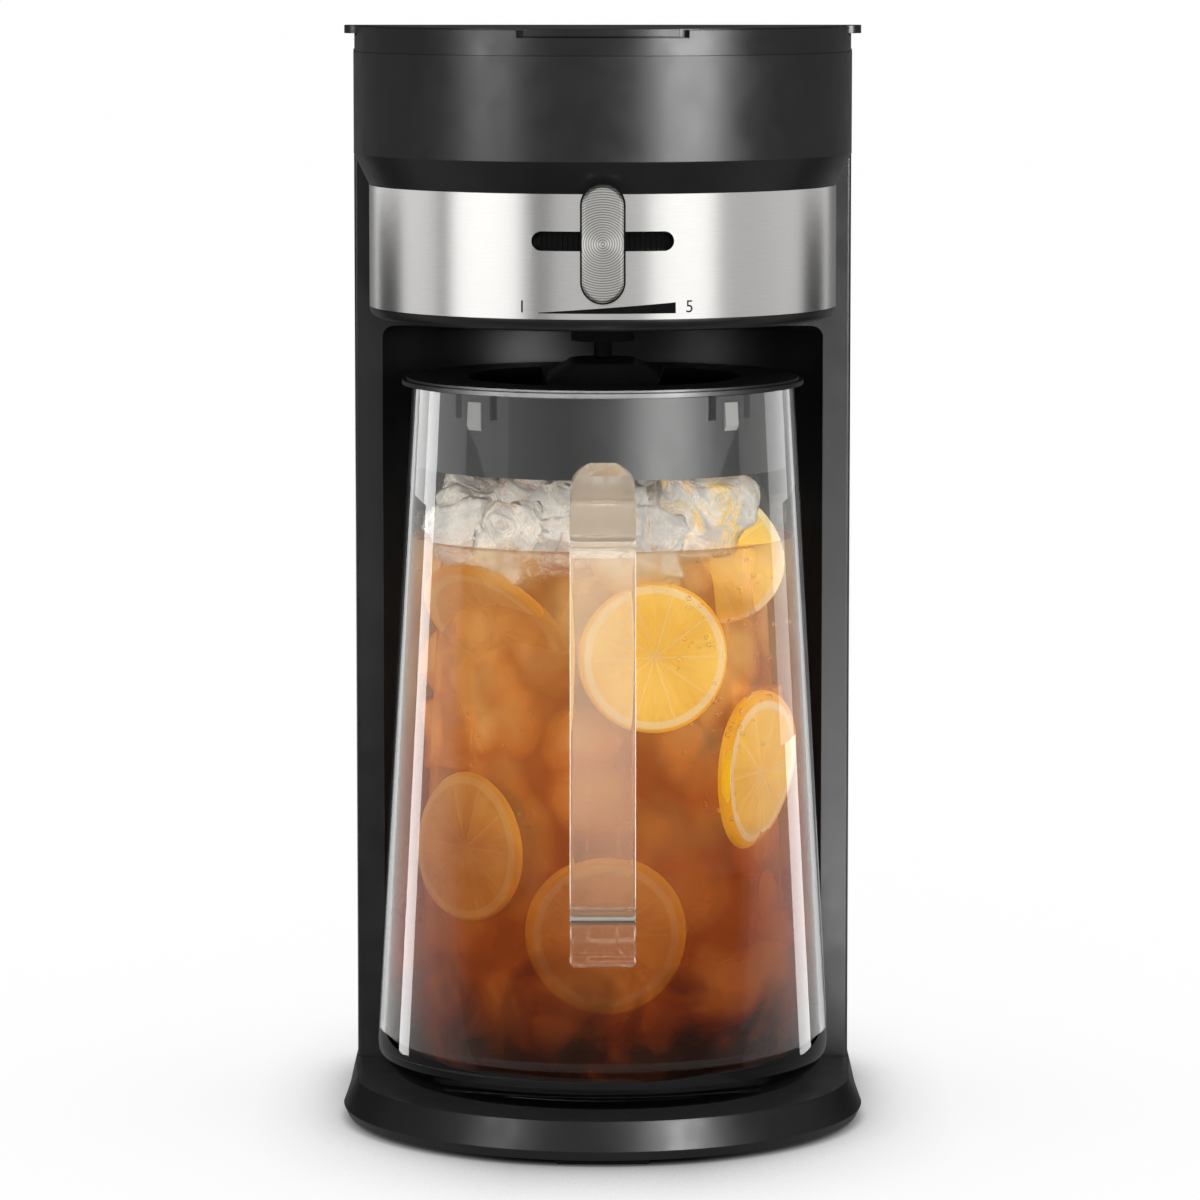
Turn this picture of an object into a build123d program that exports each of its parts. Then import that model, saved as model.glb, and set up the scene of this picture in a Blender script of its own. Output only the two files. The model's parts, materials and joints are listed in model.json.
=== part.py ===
from build123d import *
import os
from math import atan2, cos, degrees, hypot, radians, sin, sqrt

# Iced tea maker: a flat base carries a column with the water tank, the column carries a round
# head with the brew basket, and a clear pitcher with its own lid stands in the niche below it.
# Millimetres. +Z is up, the front is -Y, and the origin is on the table under the pitcher's axis.

os.makedirs("parts", exist_ok=True)

# ---------------------------------------------------------------- driving dimensions
WALL = 2.4                  # moulded wall of the housing
GAP = 0.4                   # play between pieces that move or lift past each other

# housing outline seen from above
HEAD_R = 82.75              # round front of the head
SIDE_X = 84.0               # straight sides of the column
BACK_Y = 118.5              # flat back of the column
CORNER_X = 34.0             # centre of the rear corner rounding
COLUMN_FRONT_Y = 30.0       # front faces of the column

# heights
FOOT_H = 1.5
BASE_WIDE_Z = 4.6           # widest line round the base
BASE_TOP_Z = 13.8
NICHE_TOP_Z = 265.0
HEAD_FLOOR_Z = 270.0
BAND_LOW_Z = 274.0
BAND_TOP_Z = 314.4
DRUM_LOW_Z = 324.7
DECK_TOP_Z = 346.0
SEAM_Z = 358.4
RIM_TOP_Z = 366.6
TOP_Z = 367.0

# base
BASE_WIDE_R = 87.5
BASE_WIDE_SIDE = 86.6
BASE_BACK_Y = 120.0
BASE_CREST = 0.4            # ledge left round the column's foot
BASE_UNDERCUT = 1.5
PLATE_T = 2.0

# head
BAND_R = 77.7
BAND_T = 0.6
BAND_END_Y = -1.0           # the band stops where the column begins
RIM_STEP = 0.35             # the rim is this much narrower than the drum
SLOT_L = 45.8
SLOT_H = 6.3
SLOT_Z = 299.2
KNOB_W = 13.4
KNOB_H = 37.7
KNOB_Z = 298.7

# pitcher
JAR_FLOOR_Z = 14.1
JAR_TOP_Z = 247.4
JAR_TOP_R = 64.1
JAR_WIDE_R = 76.0
JAR_WALL = 2.5
LID_FLANGE_R = 67.0
LID_FLANGE_Z = 247.9
LID_TOP_Z = 250.3
LID_DOME_Z = 255.6
HANDLE_W = 21.0

# niche and tank
NICHE_R = 80.4
TANK_R = NICHE_R + WALL + 1.0
TANK_LOW_Z = 66.0
TANK_HORN_Y = 46.0
PIPE_X = 66.0               # riser and tank outlet stand at +PIPE_X and -PIPE_X
PIPE_Y = 72.0
PIPE_R = 4.5
PIPE_BORE_R = 3.2
HEATER_Z = 36.0


# ---------------------------------------------------------------- helpers
def footprint(front, side, back):
    """Outline from above: a half-round front, straight sides and two rounded rear corners."""
    corner = side - CORNER_X
    turn_y = back - corner
    bulge = corner * sqrt(0.5)
    with BuildSketch() as outline:
        with BuildLine():
            ThreePointArc((-front, 0), (0, -front), (front, 0))
            Line((front, 0), (side, COLUMN_FRONT_Y))
            Line((side, COLUMN_FRONT_Y), (side, turn_y))
            ThreePointArc((side, turn_y), (CORNER_X + bulge, turn_y + bulge), (CORNER_X, back))
            Line((CORNER_X, back), (-CORNER_X, back))
            ThreePointArc((-CORNER_X, back), (-CORNER_X - bulge, turn_y + bulge), (-side, turn_y))
            Line((-side, turn_y), (-side, COLUMN_FRONT_Y))
            Line((-side, COLUMN_FRONT_Y), (-front, 0))
        make_face()
    return outline.sketch


def housing(inset):
    """The housing outline, moved inwards all round."""
    return footprint(HEAD_R - inset, SIDE_X - inset, BACK_Y - inset)


def base_outline(inset):
    """The base's widest outline, moved inwards all round."""
    return footprint(BASE_WIDE_R - inset, BASE_WIDE_SIDE - inset, BASE_BACK_Y - inset)


def prism(outline, low, high):
    """An outline stood up between two heights."""
    with BuildPart() as piece:
        with BuildSketch(Plane.XY.offset(low)):
            add(outline)
        extrude(amount=high - low)
    return piece.part


def rod(radius, low, high, x=0.0, y=0.0):
    """A round bar standing between two heights."""
    with BuildPart() as piece:
        with BuildSketch(Plane.XY.offset(low)):
            with Locations((x, y)):
                Circle(radius)
        extrude(amount=high - low)
    return piece.part


def block(low, high):
    """A rectangular block from its lowest corner to its highest."""
    with BuildPart() as piece:
        with BuildSketch(Plane.XY.offset(low[2])):
            with Locations(((low[0] + high[0]) / 2, (low[1] + high[1]) / 2)):
                Rectangle(high[0] - low[0], high[1] - low[1])
        extrude(amount=high[2] - low[2])
    return piece.part


def turned(points):
    """A solid turned about the vertical axis from a closed (radius, height) outline."""
    with BuildPart() as piece:
        with BuildSketch(Plane.XZ):
            with BuildLine():
                Polyline(*points, close=True)
            make_face()
        revolve(axis=Axis.Z)
    return piece.part


def pan_screw(head_r, head_h, shank_r, length):
    """A pan-head screw standing on its tip's axis, its head's underside at the origin."""
    with BuildPart() as piece:
        with BuildSketch():
            Circle(shank_r)
        extrude(amount=length)
        with BuildSketch():
            Circle(head_r)
        extrude(amount=-head_h)
        with BuildSketch(Plane.XY.offset(-head_h)):
            Rectangle(head_r * 1.2, head_r * 0.25)
            Rectangle(head_r * 0.25, head_r * 1.2)
        extrude(amount=head_h * 0.6, mode=Mode.SUBTRACT)
    return piece.part


def write(piece, name):
    """Labels a finished piece and writes it as one STEP file."""
    piece.part.label = name
    export_step(piece.part, f"parts/{name}.step")


# ---------------------------------------------------------------- base
base_screw_places = [(-60, -30), (60, -30), (-62, 40), (62, 40)]
deck_low_z = BASE_TOP_Z - WALL
plate_top_z = FOOT_H + PLATE_T

with BuildPart() as base_shell:
    with BuildSketch(Plane.XY.offset(FOOT_H)):
        add(base_outline(BASE_UNDERCUT))
    with BuildSketch(Plane.XY.offset(BASE_WIDE_Z)):
        add(base_outline(0))
    loft(ruled=True)
    with BuildSketch(Plane.XY.offset(BASE_WIDE_Z)):
        add(base_outline(0))
    with BuildSketch(Plane.XY.offset(BASE_TOP_Z)):
        add(housing(-BASE_CREST))
    loft(ruled=True)
    with BuildSketch(Plane.XY.offset(FOOT_H)):
        add(housing(WALL))
    extrude(amount=deck_low_z - FOOT_H, mode=Mode.SUBTRACT)
    with BuildSketch(Plane.XY.offset(plate_top_z)):
        with Locations(*base_screw_places):
            Circle(4.0)
            Circle(1.5, mode=Mode.SUBTRACT)
    extrude(amount=deck_low_z - plate_top_z)
    # hatch that lets the wires pass from the base up into the column
    with BuildSketch(Plane.XY.offset(deck_low_z)):
        with Locations((0, 103)):
            Rectangle(44, 12)
    extrude(amount=WALL, mode=Mode.SUBTRACT)
write(base_shell, "base_shell")

with BuildPart() as base_plate:
    with BuildSketch(Plane.XY.offset(FOOT_H)):
        add(housing(WALL + 0.2))
        with Locations(*base_screw_places):
            Circle(1.7, mode=Mode.SUBTRACT)
    extrude(amount=PLATE_T)
    with BuildSketch(Plane.XY.offset(FOOT_H)):
        with Locations(*base_screw_places):
            Circle(3.4)
    extrude(amount=1.2, mode=Mode.SUBTRACT)
write(base_plate, "base_plate")

with BuildPart() as base_screws:
    with Locations(*[(x, y, FOOT_H + 1.2) for x, y in base_screw_places]):
        add(pan_screw(3.0, 1.0, 1.5, 7.0))
write(base_screws, "base_screws")

with BuildPart() as feet:
    # one wide foot shows at the front edge; four round ones stand behind it
    with BuildSketch(Plane.XZ.offset(76.0)):
        with BuildLine():
            Polyline((-14.4, 0), (14.4, 0), (15.6, FOOT_H), (-15.6, FOOT_H), close=True)
        make_face()
    extrude(amount=8.2)
    with BuildSketch(Plane.XY):
        with Locations((-66, 8), (66, 8), (-52, 88), (52, 88)):
            Circle(8.0)
    extrude(amount=FOOT_H)
write(feet, "rubber_feet")

# ---------------------------------------------------------------- column
button_y = 54.0
button_z = 31.0
button_hole_r = 8.6
cover_x = 33.0
cover_low_z = 20.0
cover_top_z = 316.0
ledge_y = BACK_Y - WALL
cover_screw_places = [(x, z) for x in (-30, 30) for z in (23, 313)]

with BuildPart() as niche:
    # the round hollow that the pitcher stands in, with its ceiling rounded into its wall
    add(rod(NICHE_R, BASE_TOP_Z, NICHE_TOP_Z))
    fillet(niche.edges().sort_by(Axis.Z)[-1], 4.0)

with BuildPart() as column_shell:
    add(prism(housing(0), BASE_TOP_Z, DRUM_LOW_Z))
    add(prism(housing(WALL), BASE_TOP_Z, DRUM_LOW_Z), mode=Mode.SUBTRACT)
    # the front face that closes both horns of the column, and the wall and ceiling of the niche
    add(block((-SIDE_X, COLUMN_FRONT_Y, BASE_TOP_Z), (SIDE_X, COLUMN_FRONT_Y + WALL, DRUM_LOW_Z)))
    add(rod(NICHE_R + WALL, BASE_TOP_Z, HEAD_FLOOR_Z - GAP))
    add(niche.part, mode=Mode.SUBTRACT)
    # everything in front of the column's face goes, and the round head passes into the column
    add(block((-100, -100, 0), (100, COLUMN_FRONT_Y, TOP_Z)), mode=Mode.SUBTRACT)
    add(rod(BAND_R + 0.3, HEAD_FLOOR_Z - GAP, DRUM_LOW_Z), mode=Mode.SUBTRACT)
    # opening at the back with a ledge all round for the rear cover
    add(block((-cover_x - 5, ledge_y - WALL, cover_low_z - 4), (cover_x + 5, ledge_y, cover_top_z + 4)))
    add(block((-27, ledge_y - WALL - 1, cover_low_z + 6), (27, BACK_Y, cover_top_z - 6)), mode=Mode.SUBTRACT)
    add(
        block((-cover_x - 0.3, ledge_y, cover_low_z - 0.3), (cover_x + 0.3, BACK_Y, cover_top_z + 0.3)),
        mode=Mode.SUBTRACT,
    )
    with BuildSketch(Plane.XZ.offset(-ledge_y)):
        with Locations(*cover_screw_places):
            Circle(1.5)
    extrude(amount=WALL, mode=Mode.SUBTRACT)
    # hole for the power button in the right side
    with BuildSketch(Plane.YZ.offset(SIDE_X - WALL - 1)):
        with Locations((button_y, button_z)):
            Circle(button_hole_r)
    extrude(amount=WALL + 2, mode=Mode.SUBTRACT)
    front_edges = [
        edge
        for edge in column_shell.edges().filter_by(Axis.Z)
        if abs(abs(edge.center().X) - SIDE_X) < 0.1 and abs(edge.center().Y - COLUMN_FRONT_Y) < 0.1
    ]
    fillet(front_edges, 1.2)
write(column_shell, "column_shell")

# the cord's gland and the vents share the cover's lower end
gland_x = -19.0
gland_z = 56.0
gland_r = 6.5

with BuildPart() as rear_cover:
    add(block((-cover_x, ledge_y, cover_low_z), (cover_x, BACK_Y, cover_top_z)))
    fillet(rear_cover.edges().filter_by(Axis.Y), 3.0)
    with BuildSketch(Plane.XZ.offset(-BACK_Y)):
        with Locations((gland_x, gland_z)):
            Circle(gland_r)
        with Locations(*cover_screw_places):
            Circle(1.5)
        with Locations((9, gland_z)):
            with GridLocations(0, 6.0, 1, 5):
                SlotOverall(26, 2.4)
    extrude(amount=WALL, mode=Mode.SUBTRACT)
write(rear_cover, "rear_cover")

with BuildPart() as cover_screws:
    for x, z in cover_screw_places:
        with Locations(Location((x, BACK_Y, z), (90, 0, 0))):
            add(pan_screw(2.8, 1.2, 1.5, 4.2))
write(cover_screws, "rear_cover_screws")

with BuildPart() as cord_gland:
    with BuildSketch(Plane.XZ.offset(-BASE_BACK_Y)):
        with Locations((gland_x, gland_z)):
            Circle(9.0)
    extrude(amount=BASE_BACK_Y - BACK_Y)
    with BuildSketch(Plane.XZ.offset(-BASE_BACK_Y)):
        with Locations((gland_x, gland_z)):
            Circle(gland_r)
    extrude(amount=12.0)
    with BuildSketch(Plane.XZ.offset(-BASE_BACK_Y)):
        with Locations((gland_x, gland_z)):
            Circle(3.4)
    extrude(amount=12.0, mode=Mode.SUBTRACT)
write(cord_gland, "cord_gland")

# ---------------------------------------------------------------- water path
tank_back_y = 113.0
tank_side_x = SIDE_X - WALL - 1.0
tank_top_z = DECK_TOP_Z - 2.5
tank_wall = 2.0
barb_top_z = 55.0
hose_low_z = 47.0
hose_top_z = 63.0
riser_top_z = 350.5


def tank_plan(inset, low, high):
    """The tank's section: the column's inside, behind the niche's round wall."""
    with BuildPart() as piece:
        add(prism(footprint(HEAD_R, tank_side_x - inset, tank_back_y - inset), low, high))
        add(rod(TANK_R + inset, low, high), mode=Mode.SUBTRACT)
        add(block((-100, -100, low), (100, TANK_HORN_Y + inset, high)), mode=Mode.SUBTRACT)
    return piece.part


with BuildPart() as water_tank:
    add(tank_plan(0, TANK_LOW_Z, tank_top_z))
    add(tank_plan(tank_wall, TANK_LOW_Z + tank_wall, tank_top_z), mode=Mode.SUBTRACT)
    add(rod(PIPE_R, hose_top_z - 6, TANK_LOW_Z, -PIPE_X, PIPE_Y))
    add(rod(PIPE_BORE_R, hose_top_z - 6, TANK_LOW_Z + tank_wall, -PIPE_X, PIPE_Y), mode=Mode.SUBTRACT)
    add(rod(PIPE_R + 1, TANK_LOW_Z, TANK_LOW_Z + tank_wall, PIPE_X, PIPE_Y), mode=Mode.SUBTRACT)
write(water_tank, "water_tank")

with BuildPart() as riser_tube:
    add(rod(PIPE_R, hose_top_z - 6, riser_top_z, PIPE_X, PIPE_Y))
    add(rod(PIPE_BORE_R, hose_top_z - 6, riser_top_z, PIPE_X, PIPE_Y), mode=Mode.SUBTRACT)
write(riser_tube, "riser_tube")

with BuildPart() as riser_grommet:
    add(rod(PIPE_R + 3, TANK_LOW_Z - 1.5, TANK_LOW_Z, PIPE_X, PIPE_Y))
    add(rod(PIPE_R + 1, TANK_LOW_Z, TANK_LOW_Z + tank_wall, PIPE_X, PIPE_Y))
    add(rod(PIPE_R + 3, TANK_LOW_Z + tank_wall, TANK_LOW_Z + tank_wall + 1.5, PIPE_X, PIPE_Y))
    add(rod(PIPE_R, TANK_LOW_Z - 1.5, TANK_LOW_Z + tank_wall + 1.5, PIPE_X, PIPE_Y), mode=Mode.SUBTRACT)
write(riser_grommet, "riser_grommet")

# The heater is a cast arc behind the niche: a water channel above, a heating rod below.
heater_r = hypot(PIPE_X, PIPE_Y)
heater_start = degrees(atan2(PIPE_Y, PIPE_X))
heater_sweep = 180 - 2 * heater_start
channel_cast_r = 8.0
element_cast_r = 5.6
element_drop = 11.1


def radial_plane(angle):
    """An upright plane through the vertical axis, its x direction pointing out at this angle."""
    turn = radians(angle)
    return Plane(origin=(0, 0, 0), x_dir=(cos(turn), sin(turn), 0), z_dir=(sin(turn), -cos(turn), 0))


def heater_arc(radius, height, start, sweep):
    """A round bar bent about the vertical axis at the heater's radius."""
    with BuildPart() as piece:
        with BuildSketch(radial_plane(start)):
            with Locations((heater_r, height)):
                Circle(radius)
        revolve(axis=Axis.Z, revolution_arc=sweep)
    return piece.part


with BuildPart() as heater_body:
    add(heater_arc(channel_cast_r, HEATER_Z, heater_start, heater_sweep))
    add(heater_arc(element_cast_r, HEATER_Z - element_drop, heater_start, heater_sweep))
    for side in (-1, 1):
        add(rod(channel_cast_r, HEATER_Z - channel_cast_r, HEATER_Z + channel_cast_r, side * PIPE_X, PIPE_Y))
        add(rod(PIPE_R, HEATER_Z, barb_top_z, side * PIPE_X, PIPE_Y))
    # flat pad on top for the thermostat
    add(rod(7.5, HEATER_Z, HEATER_Z + channel_cast_r + 1, 0, heater_r))
    add(heater_arc(PIPE_BORE_R, HEATER_Z, heater_start, heater_sweep), mode=Mode.SUBTRACT)
    for side in (-1, 1):
        add(rod(PIPE_BORE_R, HEATER_Z, barb_top_z, side * PIPE_X, PIPE_Y), mode=Mode.SUBTRACT)
    add(
        heater_arc(PIPE_BORE_R, HEATER_Z - element_drop, heater_start - 9, heater_sweep + 18),
        mode=Mode.SUBTRACT,
    )
write(heater_body, "heater_body")

with BuildPart() as heating_rod:
    add(heater_arc(PIPE_BORE_R, HEATER_Z - element_drop, heater_start - 5, heater_sweep + 10))
write(heating_rod, "heating_rod")

with BuildPart() as heater_straps:
    for angle in (72, 108):
        with BuildSketch(radial_plane(angle)):
            with Locations((heater_r, 30.5)):
                Rectangle(21, 33.4)
            with Locations((heater_r + 12, BASE_TOP_Z + 1)):
                Rectangle(12, 2)
        extrude(amount=4, both=True)
    add(heater_arc(channel_cast_r + 0.2, HEATER_Z, heater_start, heater_sweep), mode=Mode.SUBTRACT)
    add(
        heater_arc(element_cast_r + 0.2, HEATER_Z - element_drop, heater_start, heater_sweep),
        mode=Mode.SUBTRACT,
    )
    for angle in (72, 108):
        with BuildSketch(radial_plane(angle)):
            with Locations((heater_r, 19.5)):
                Rectangle(16.6, 12)
            with Locations((heater_r, 28)):
                Rectangle(16.6, 12)
        extrude(amount=5, both=True, mode=Mode.SUBTRACT)
        with BuildSketch(Plane.XY.offset(BASE_TOP_Z)):
            with Locations(((heater_r + 14) * cos(radians(angle)), (heater_r + 14) * sin(radians(angle)))):
                Circle(1.4)
        extrude(amount=2.2, mode=Mode.SUBTRACT)
write(heater_straps, "heater_straps")

with BuildPart() as heater_screws:
    for angle in (72, 108):
        place = ((heater_r + 14) * cos(radians(angle)), (heater_r + 14) * sin(radians(angle)))
        with Locations(Location((place[0], place[1], BASE_TOP_Z + 2), (180, 0, 0))):
            add(pan_screw(2.4, 1.4, 1.4, 2.0))
write(heater_screws, "heater_screws")

for name, side in (("inlet_hose", -1), ("outlet_hose", 1)):
    with BuildPart() as hose:
        add(rod(PIPE_R + 1.5, hose_low_z, hose_top_z, side * PIPE_X, PIPE_Y))
        add(rod(PIPE_R, hose_low_z, hose_top_z, side * PIPE_X, PIPE_Y), mode=Mode.SUBTRACT)
    write(hose, name)

with BuildPart() as hose_clamps:
    for side in (-1, 1):
        for low in (hose_low_z + 1.5, hose_top_z - 5.0):
            add(rod(PIPE_R + 2.5, low, low + 3.5, side * PIPE_X, PIPE_Y))
            add(rod(PIPE_R + 1.5, low, low + 3.5, side * PIPE_X, PIPE_Y), mode=Mode.SUBTRACT)
write(hose_clamps, "hose_clamps")

with BuildPart() as check_valve:
    # a ball in a short cage, held in the hose between the tank's nozzle and the heater
    add(rod(PIPE_R - 0.1, barb_top_z + 0.2, hose_top_z - 6.2, -PIPE_X, PIPE_Y))
    add(rod(2.2, barb_top_z + 0.2, hose_top_z - 6.2, -PIPE_X, PIPE_Y), mode=Mode.SUBTRACT)
write(check_valve, "check_valve")

with BuildPart() as thermostat:
    add(rod(6.5, HEATER_Z + channel_cast_r + 1, HEATER_Z + channel_cast_r + 6, 0, heater_r))
    for side in (-1, 1):
        top_z = HEATER_Z + channel_cast_r + 6
        add(block((side * 3.5 - 1.5, heater_r - 0.4, top_z), (side * 3.5 + 1.5, heater_r + 0.4, top_z + 4)))
write(thermostat, "thermostat")

with BuildPart() as thermal_fuse:
    fuse_angle = 122
    fuse_radius = 2.2
    with BuildSketch(radial_plane(fuse_angle)):
        with Locations((heater_r, HEATER_Z + channel_cast_r + fuse_radius + 0.2)):
            Circle(fuse_radius)
    extrude(amount=5.5, both=True)
write(thermal_fuse, "thermal_fuse")

# ---------------------------------------------------------------- power button, right side
button_face_x = SIDE_X + 0.7
bezel_r = 10.4


def side_disc(radius, low_x, high_x):
    """A disc on the button's axis, between two distances from the middle."""
    with BuildPart() as piece:
        with BuildSketch(Plane.YZ.offset(low_x)):
            with Locations((button_y, button_z)):
                Circle(radius)
        extrude(amount=high_x - low_x)
    return piece.part


with BuildPart() as button_bezel:
    add(side_disc(bezel_r, SIDE_X, SIDE_X + 0.5))
    add(side_disc(button_hole_r, SIDE_X - 3.0, SIDE_X))
    add(side_disc(7.8, SIDE_X - 3.0, SIDE_X + 0.5), mode=Mode.SUBTRACT)
write(button_bezel, "button_bezel")

with BuildPart() as power_button:
    add(side_disc(7.5, SIDE_X - 3.6, button_face_x))
    fillet(power_button.edges().filter_by(GeomType.CIRCLE).sort_by(Axis.X)[-1], 0.6)
    add(side_disc(8.4, SIDE_X - 4.6, SIDE_X - 3.5))
    add(side_disc(2.2, SIDE_X - 1.0, button_face_x + 1), mode=Mode.SUBTRACT)
write(power_button, "power_button")

with BuildPart() as indicator_lens:
    add(side_disc(2.2, SIDE_X - 1.0, button_face_x + 0.1))
write(indicator_lens, "indicator_lens")

with BuildPart() as power_switch:
    add(block((70.5, button_y - 7, button_z - 7), (76.4, button_y + 7, button_z + 7)))
    add(side_disc(2.4, 76.4, 77.4))
write(power_switch, "power_switch")

with BuildPart() as wire_loom:
    loom_r = 1.5
    with BuildLine() as route:
        FilletPolyline(
            (gland_x, 108, gland_z),
            (gland_x, 98, gland_z),
            (-6, 88.5, gland_z),
            (30, 83.8, gland_z),
            (57, 67.2, gland_z),
            (73.5, 51, gland_z),
            (73.5, 51, button_z + 7),
            radius=5.0,
        )
    with BuildSketch(Plane.XZ.offset(-108)):
        with Locations((gland_x, gland_z)):
            Circle(loom_r)
    sweep(path=route.wires()[0])
write(wire_loom, "wire_loom")

# ---------------------------------------------------------------- head
deck_t = 2.5
deck_screw_r = 77.9
deck_screw_angles = (-35, 10, 170, 215)
deck_screw_places = [
    (deck_screw_r * cos(radians(angle)), deck_screw_r * sin(radians(angle)))
    for angle in deck_screw_angles
]

with BuildPart() as head_shell:
    # the drum, with the cone that draws it in to the band at the front
    add(turned([(0, BAND_TOP_Z), (BAND_R, BAND_TOP_Z), (HEAD_R, DRUM_LOW_Z), (0, DRUM_LOW_Z)]))
    add(block((-100, COLUMN_FRONT_Y, BAND_TOP_Z), (100, 130, DRUM_LOW_Z)), mode=Mode.SUBTRACT)
    add(prism(housing(0), DRUM_LOW_Z, SEAM_Z))
    add(prism(housing(WALL), DRUM_LOW_Z, SEAM_Z), mode=Mode.SUBTRACT)
    add(
        turned([
            (0, BAND_TOP_Z), (BAND_R - WALL, BAND_TOP_Z), (HEAD_R - WALL, DRUM_LOW_Z), (0, DRUM_LOW_Z),
        ]),
        mode=Mode.SUBTRACT,
    )
    with BuildSketch(Plane.XY.offset(tank_top_z - 16)):
        with Locations(*deck_screw_places):
            Circle(4.4)
            Circle(1.4, mode=Mode.SUBTRACT)
    extrude(amount=16)
write(head_shell, "head_shell")

lower_head_wall = BAND_R - BAND_T
lower_head_bore = lower_head_wall - WALL + 0.2
skirt_r = 4.0
funnel_hole_r = 20.0


with BuildPart() as control_slot:
    # the strength control's slot, a plug that cuts through the front wall along Y
    with BuildSketch(Plane.XZ.offset(60)):
        with Locations((0, SLOT_Z)):
            SlotOverall(SLOT_L, SLOT_H)
    extrude(amount=30)

with BuildPart() as lower_head:
    with BuildSketch(Plane.XZ):
        with BuildLine():
            turn = skirt_r * sqrt(0.5)
            centre = (BAND_R - skirt_r, HEAD_FLOOR_Z + skirt_r)
            Line((funnel_hole_r, HEAD_FLOOR_Z), (centre[0], HEAD_FLOOR_Z))
            ThreePointArc(
                (centre[0], HEAD_FLOOR_Z),
                (centre[0] + turn, centre[1] - turn),
                (BAND_R, centre[1]),
            )
            Polyline(
                (BAND_R, centre[1]),
                (lower_head_wall, BAND_LOW_Z),
                (lower_head_wall, BAND_TOP_Z),
                (lower_head_bore, BAND_TOP_Z),
                (lower_head_bore, HEAD_FLOOR_Z + WALL),
                (funnel_hole_r, HEAD_FLOOR_Z + WALL),
                (funnel_hole_r, HEAD_FLOOR_Z),
            )
        make_face()
    revolve(axis=Axis.Z)
    add(control_slot.part, mode=Mode.SUBTRACT)
write(lower_head, "lower_head")

with BuildPart() as steel_band:
    add(rod(BAND_R, BAND_LOW_Z + 0.1, BAND_TOP_Z - 0.1))
    add(rod(lower_head_wall, BAND_LOW_Z, BAND_TOP_Z), mode=Mode.SUBTRACT)
    add(block((-100, BAND_END_Y, BAND_LOW_Z), (100, 100, BAND_TOP_Z)), mode=Mode.SUBTRACT)
    add(control_slot.part, mode=Mode.SUBTRACT)
write(steel_band, "steel_band")

# The lid and the rim fall gently towards the rear, behind the head's middle.
fall_angle = 1.2


def rear_fall(top_z):
    """Everything above a plane that starts level at the middle and falls towards the rear."""
    drop = 130 * sin(radians(fall_angle))
    with BuildPart() as piece:
        with BuildSketch(Plane.YZ):
            with BuildLine():
                Polyline((0, top_z), (130, top_z - drop), (130, top_z + 9), (0, top_z + 9), close=True)
            make_face()
        extrude(amount=100, both=True)
    return piece.part


hinge_y = 108.0
hinge_z = 361.0
hinge_pin_r = 1.5
barrel_r = 3.4
ear_spans = [(28.0, 32.0), (42.0, 46.0)]
notch_x = 27.6
wing_y = 14.0
wing_x = SIDE_X + 1.4
lid_inset = RIM_STEP + WALL + GAP
lid_low_z = 361.9
lid_back_y = hinge_y + 3.4
lid_corner_y = hinge_y - 5.5    # beside the hinges the lid stops here, to swing over the rim
rim_bore_back_y = hinge_y + 6.2

with BuildPart() as head_rim:
    add(prism(housing(RIM_STEP), SEAM_Z, RIM_TOP_Z))
    rim_bore = RIM_STEP + WALL
    add(
        prism(footprint(HEAD_R - rim_bore, SIDE_X - rim_bore, rim_bore_back_y), SEAM_Z, RIM_TOP_Z),
        mode=Mode.SUBTRACT,
    )
    add(rear_fall(TOP_Z - 0.2), mode=Mode.SUBTRACT)
    # notches for the lid's front lip and its two side grips
    add(block((-notch_x, -100, 364.2), (notch_x, -60, TOP_Z)), mode=Mode.SUBTRACT)
    add(block((-100, -wing_y - 0.6, 363.9), (100, wing_y + 0.6, TOP_Z)), mode=Mode.SUBTRACT)
write(head_rim, "head_rim")


def on_hinge(radius, low_x, high_x):
    """A round bar on the lid's hinge axis."""
    with BuildPart() as piece:
        with BuildSketch(Plane.YZ.offset(low_x)):
            with Locations((hinge_y, hinge_z)):
                Circle(radius)
        extrude(amount=high_x - low_x)
    return piece.part


basket_hole_r = 63.2
fill_right_x = 50.0

with BuildPart() as fill_opening:
    # water is poured through this hole in the deck, in front of the hinge and left of the riser
    add(tank_plan(tank_wall + 1, tank_top_z, DECK_TOP_Z))
    add(block((-100, 102, tank_top_z), (100, 130, DECK_TOP_Z)), mode=Mode.SUBTRACT)
    add(block((fill_right_x, 0, tank_top_z), (100, 130, DECK_TOP_Z)), mode=Mode.SUBTRACT)

with BuildPart() as head_deck:
    add(prism(housing(WALL + 0.3), tank_top_z, DECK_TOP_Z))
    add(rod(basket_hole_r, tank_top_z, DECK_TOP_Z), mode=Mode.SUBTRACT)
    add(fill_opening.part, mode=Mode.SUBTRACT)
    with BuildSketch(Plane.XY.offset(tank_top_z)):
        with Locations(*deck_screw_places):
            Circle(1.5)
        with Locations((PIPE_X, PIPE_Y)):
            Circle(PIPE_R)
    extrude(amount=deck_t, mode=Mode.SUBTRACT)
    # ears that carry the lid's hinge pins
    for side in (-1, 1):
        for near, far in ear_spans:
            low_x, high_x = sorted((side * near, side * far))
            add(on_hinge(barrel_r, low_x, high_x))
            add(block((low_x, hinge_y - barrel_r, DECK_TOP_Z), (high_x, hinge_y + barrel_r, hinge_z)))
            add(on_hinge(hinge_pin_r, low_x, high_x), mode=Mode.SUBTRACT)
write(head_deck, "head_deck")

with BuildPart() as deck_screws:
    for x, y in deck_screw_places:
        with Locations(Location((x, y, DECK_TOP_Z), (180, 0, 0))):
            add(pan_screw(2.4, 1.4, 1.4, 12.0))
write(deck_screws, "deck_screws")

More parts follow.
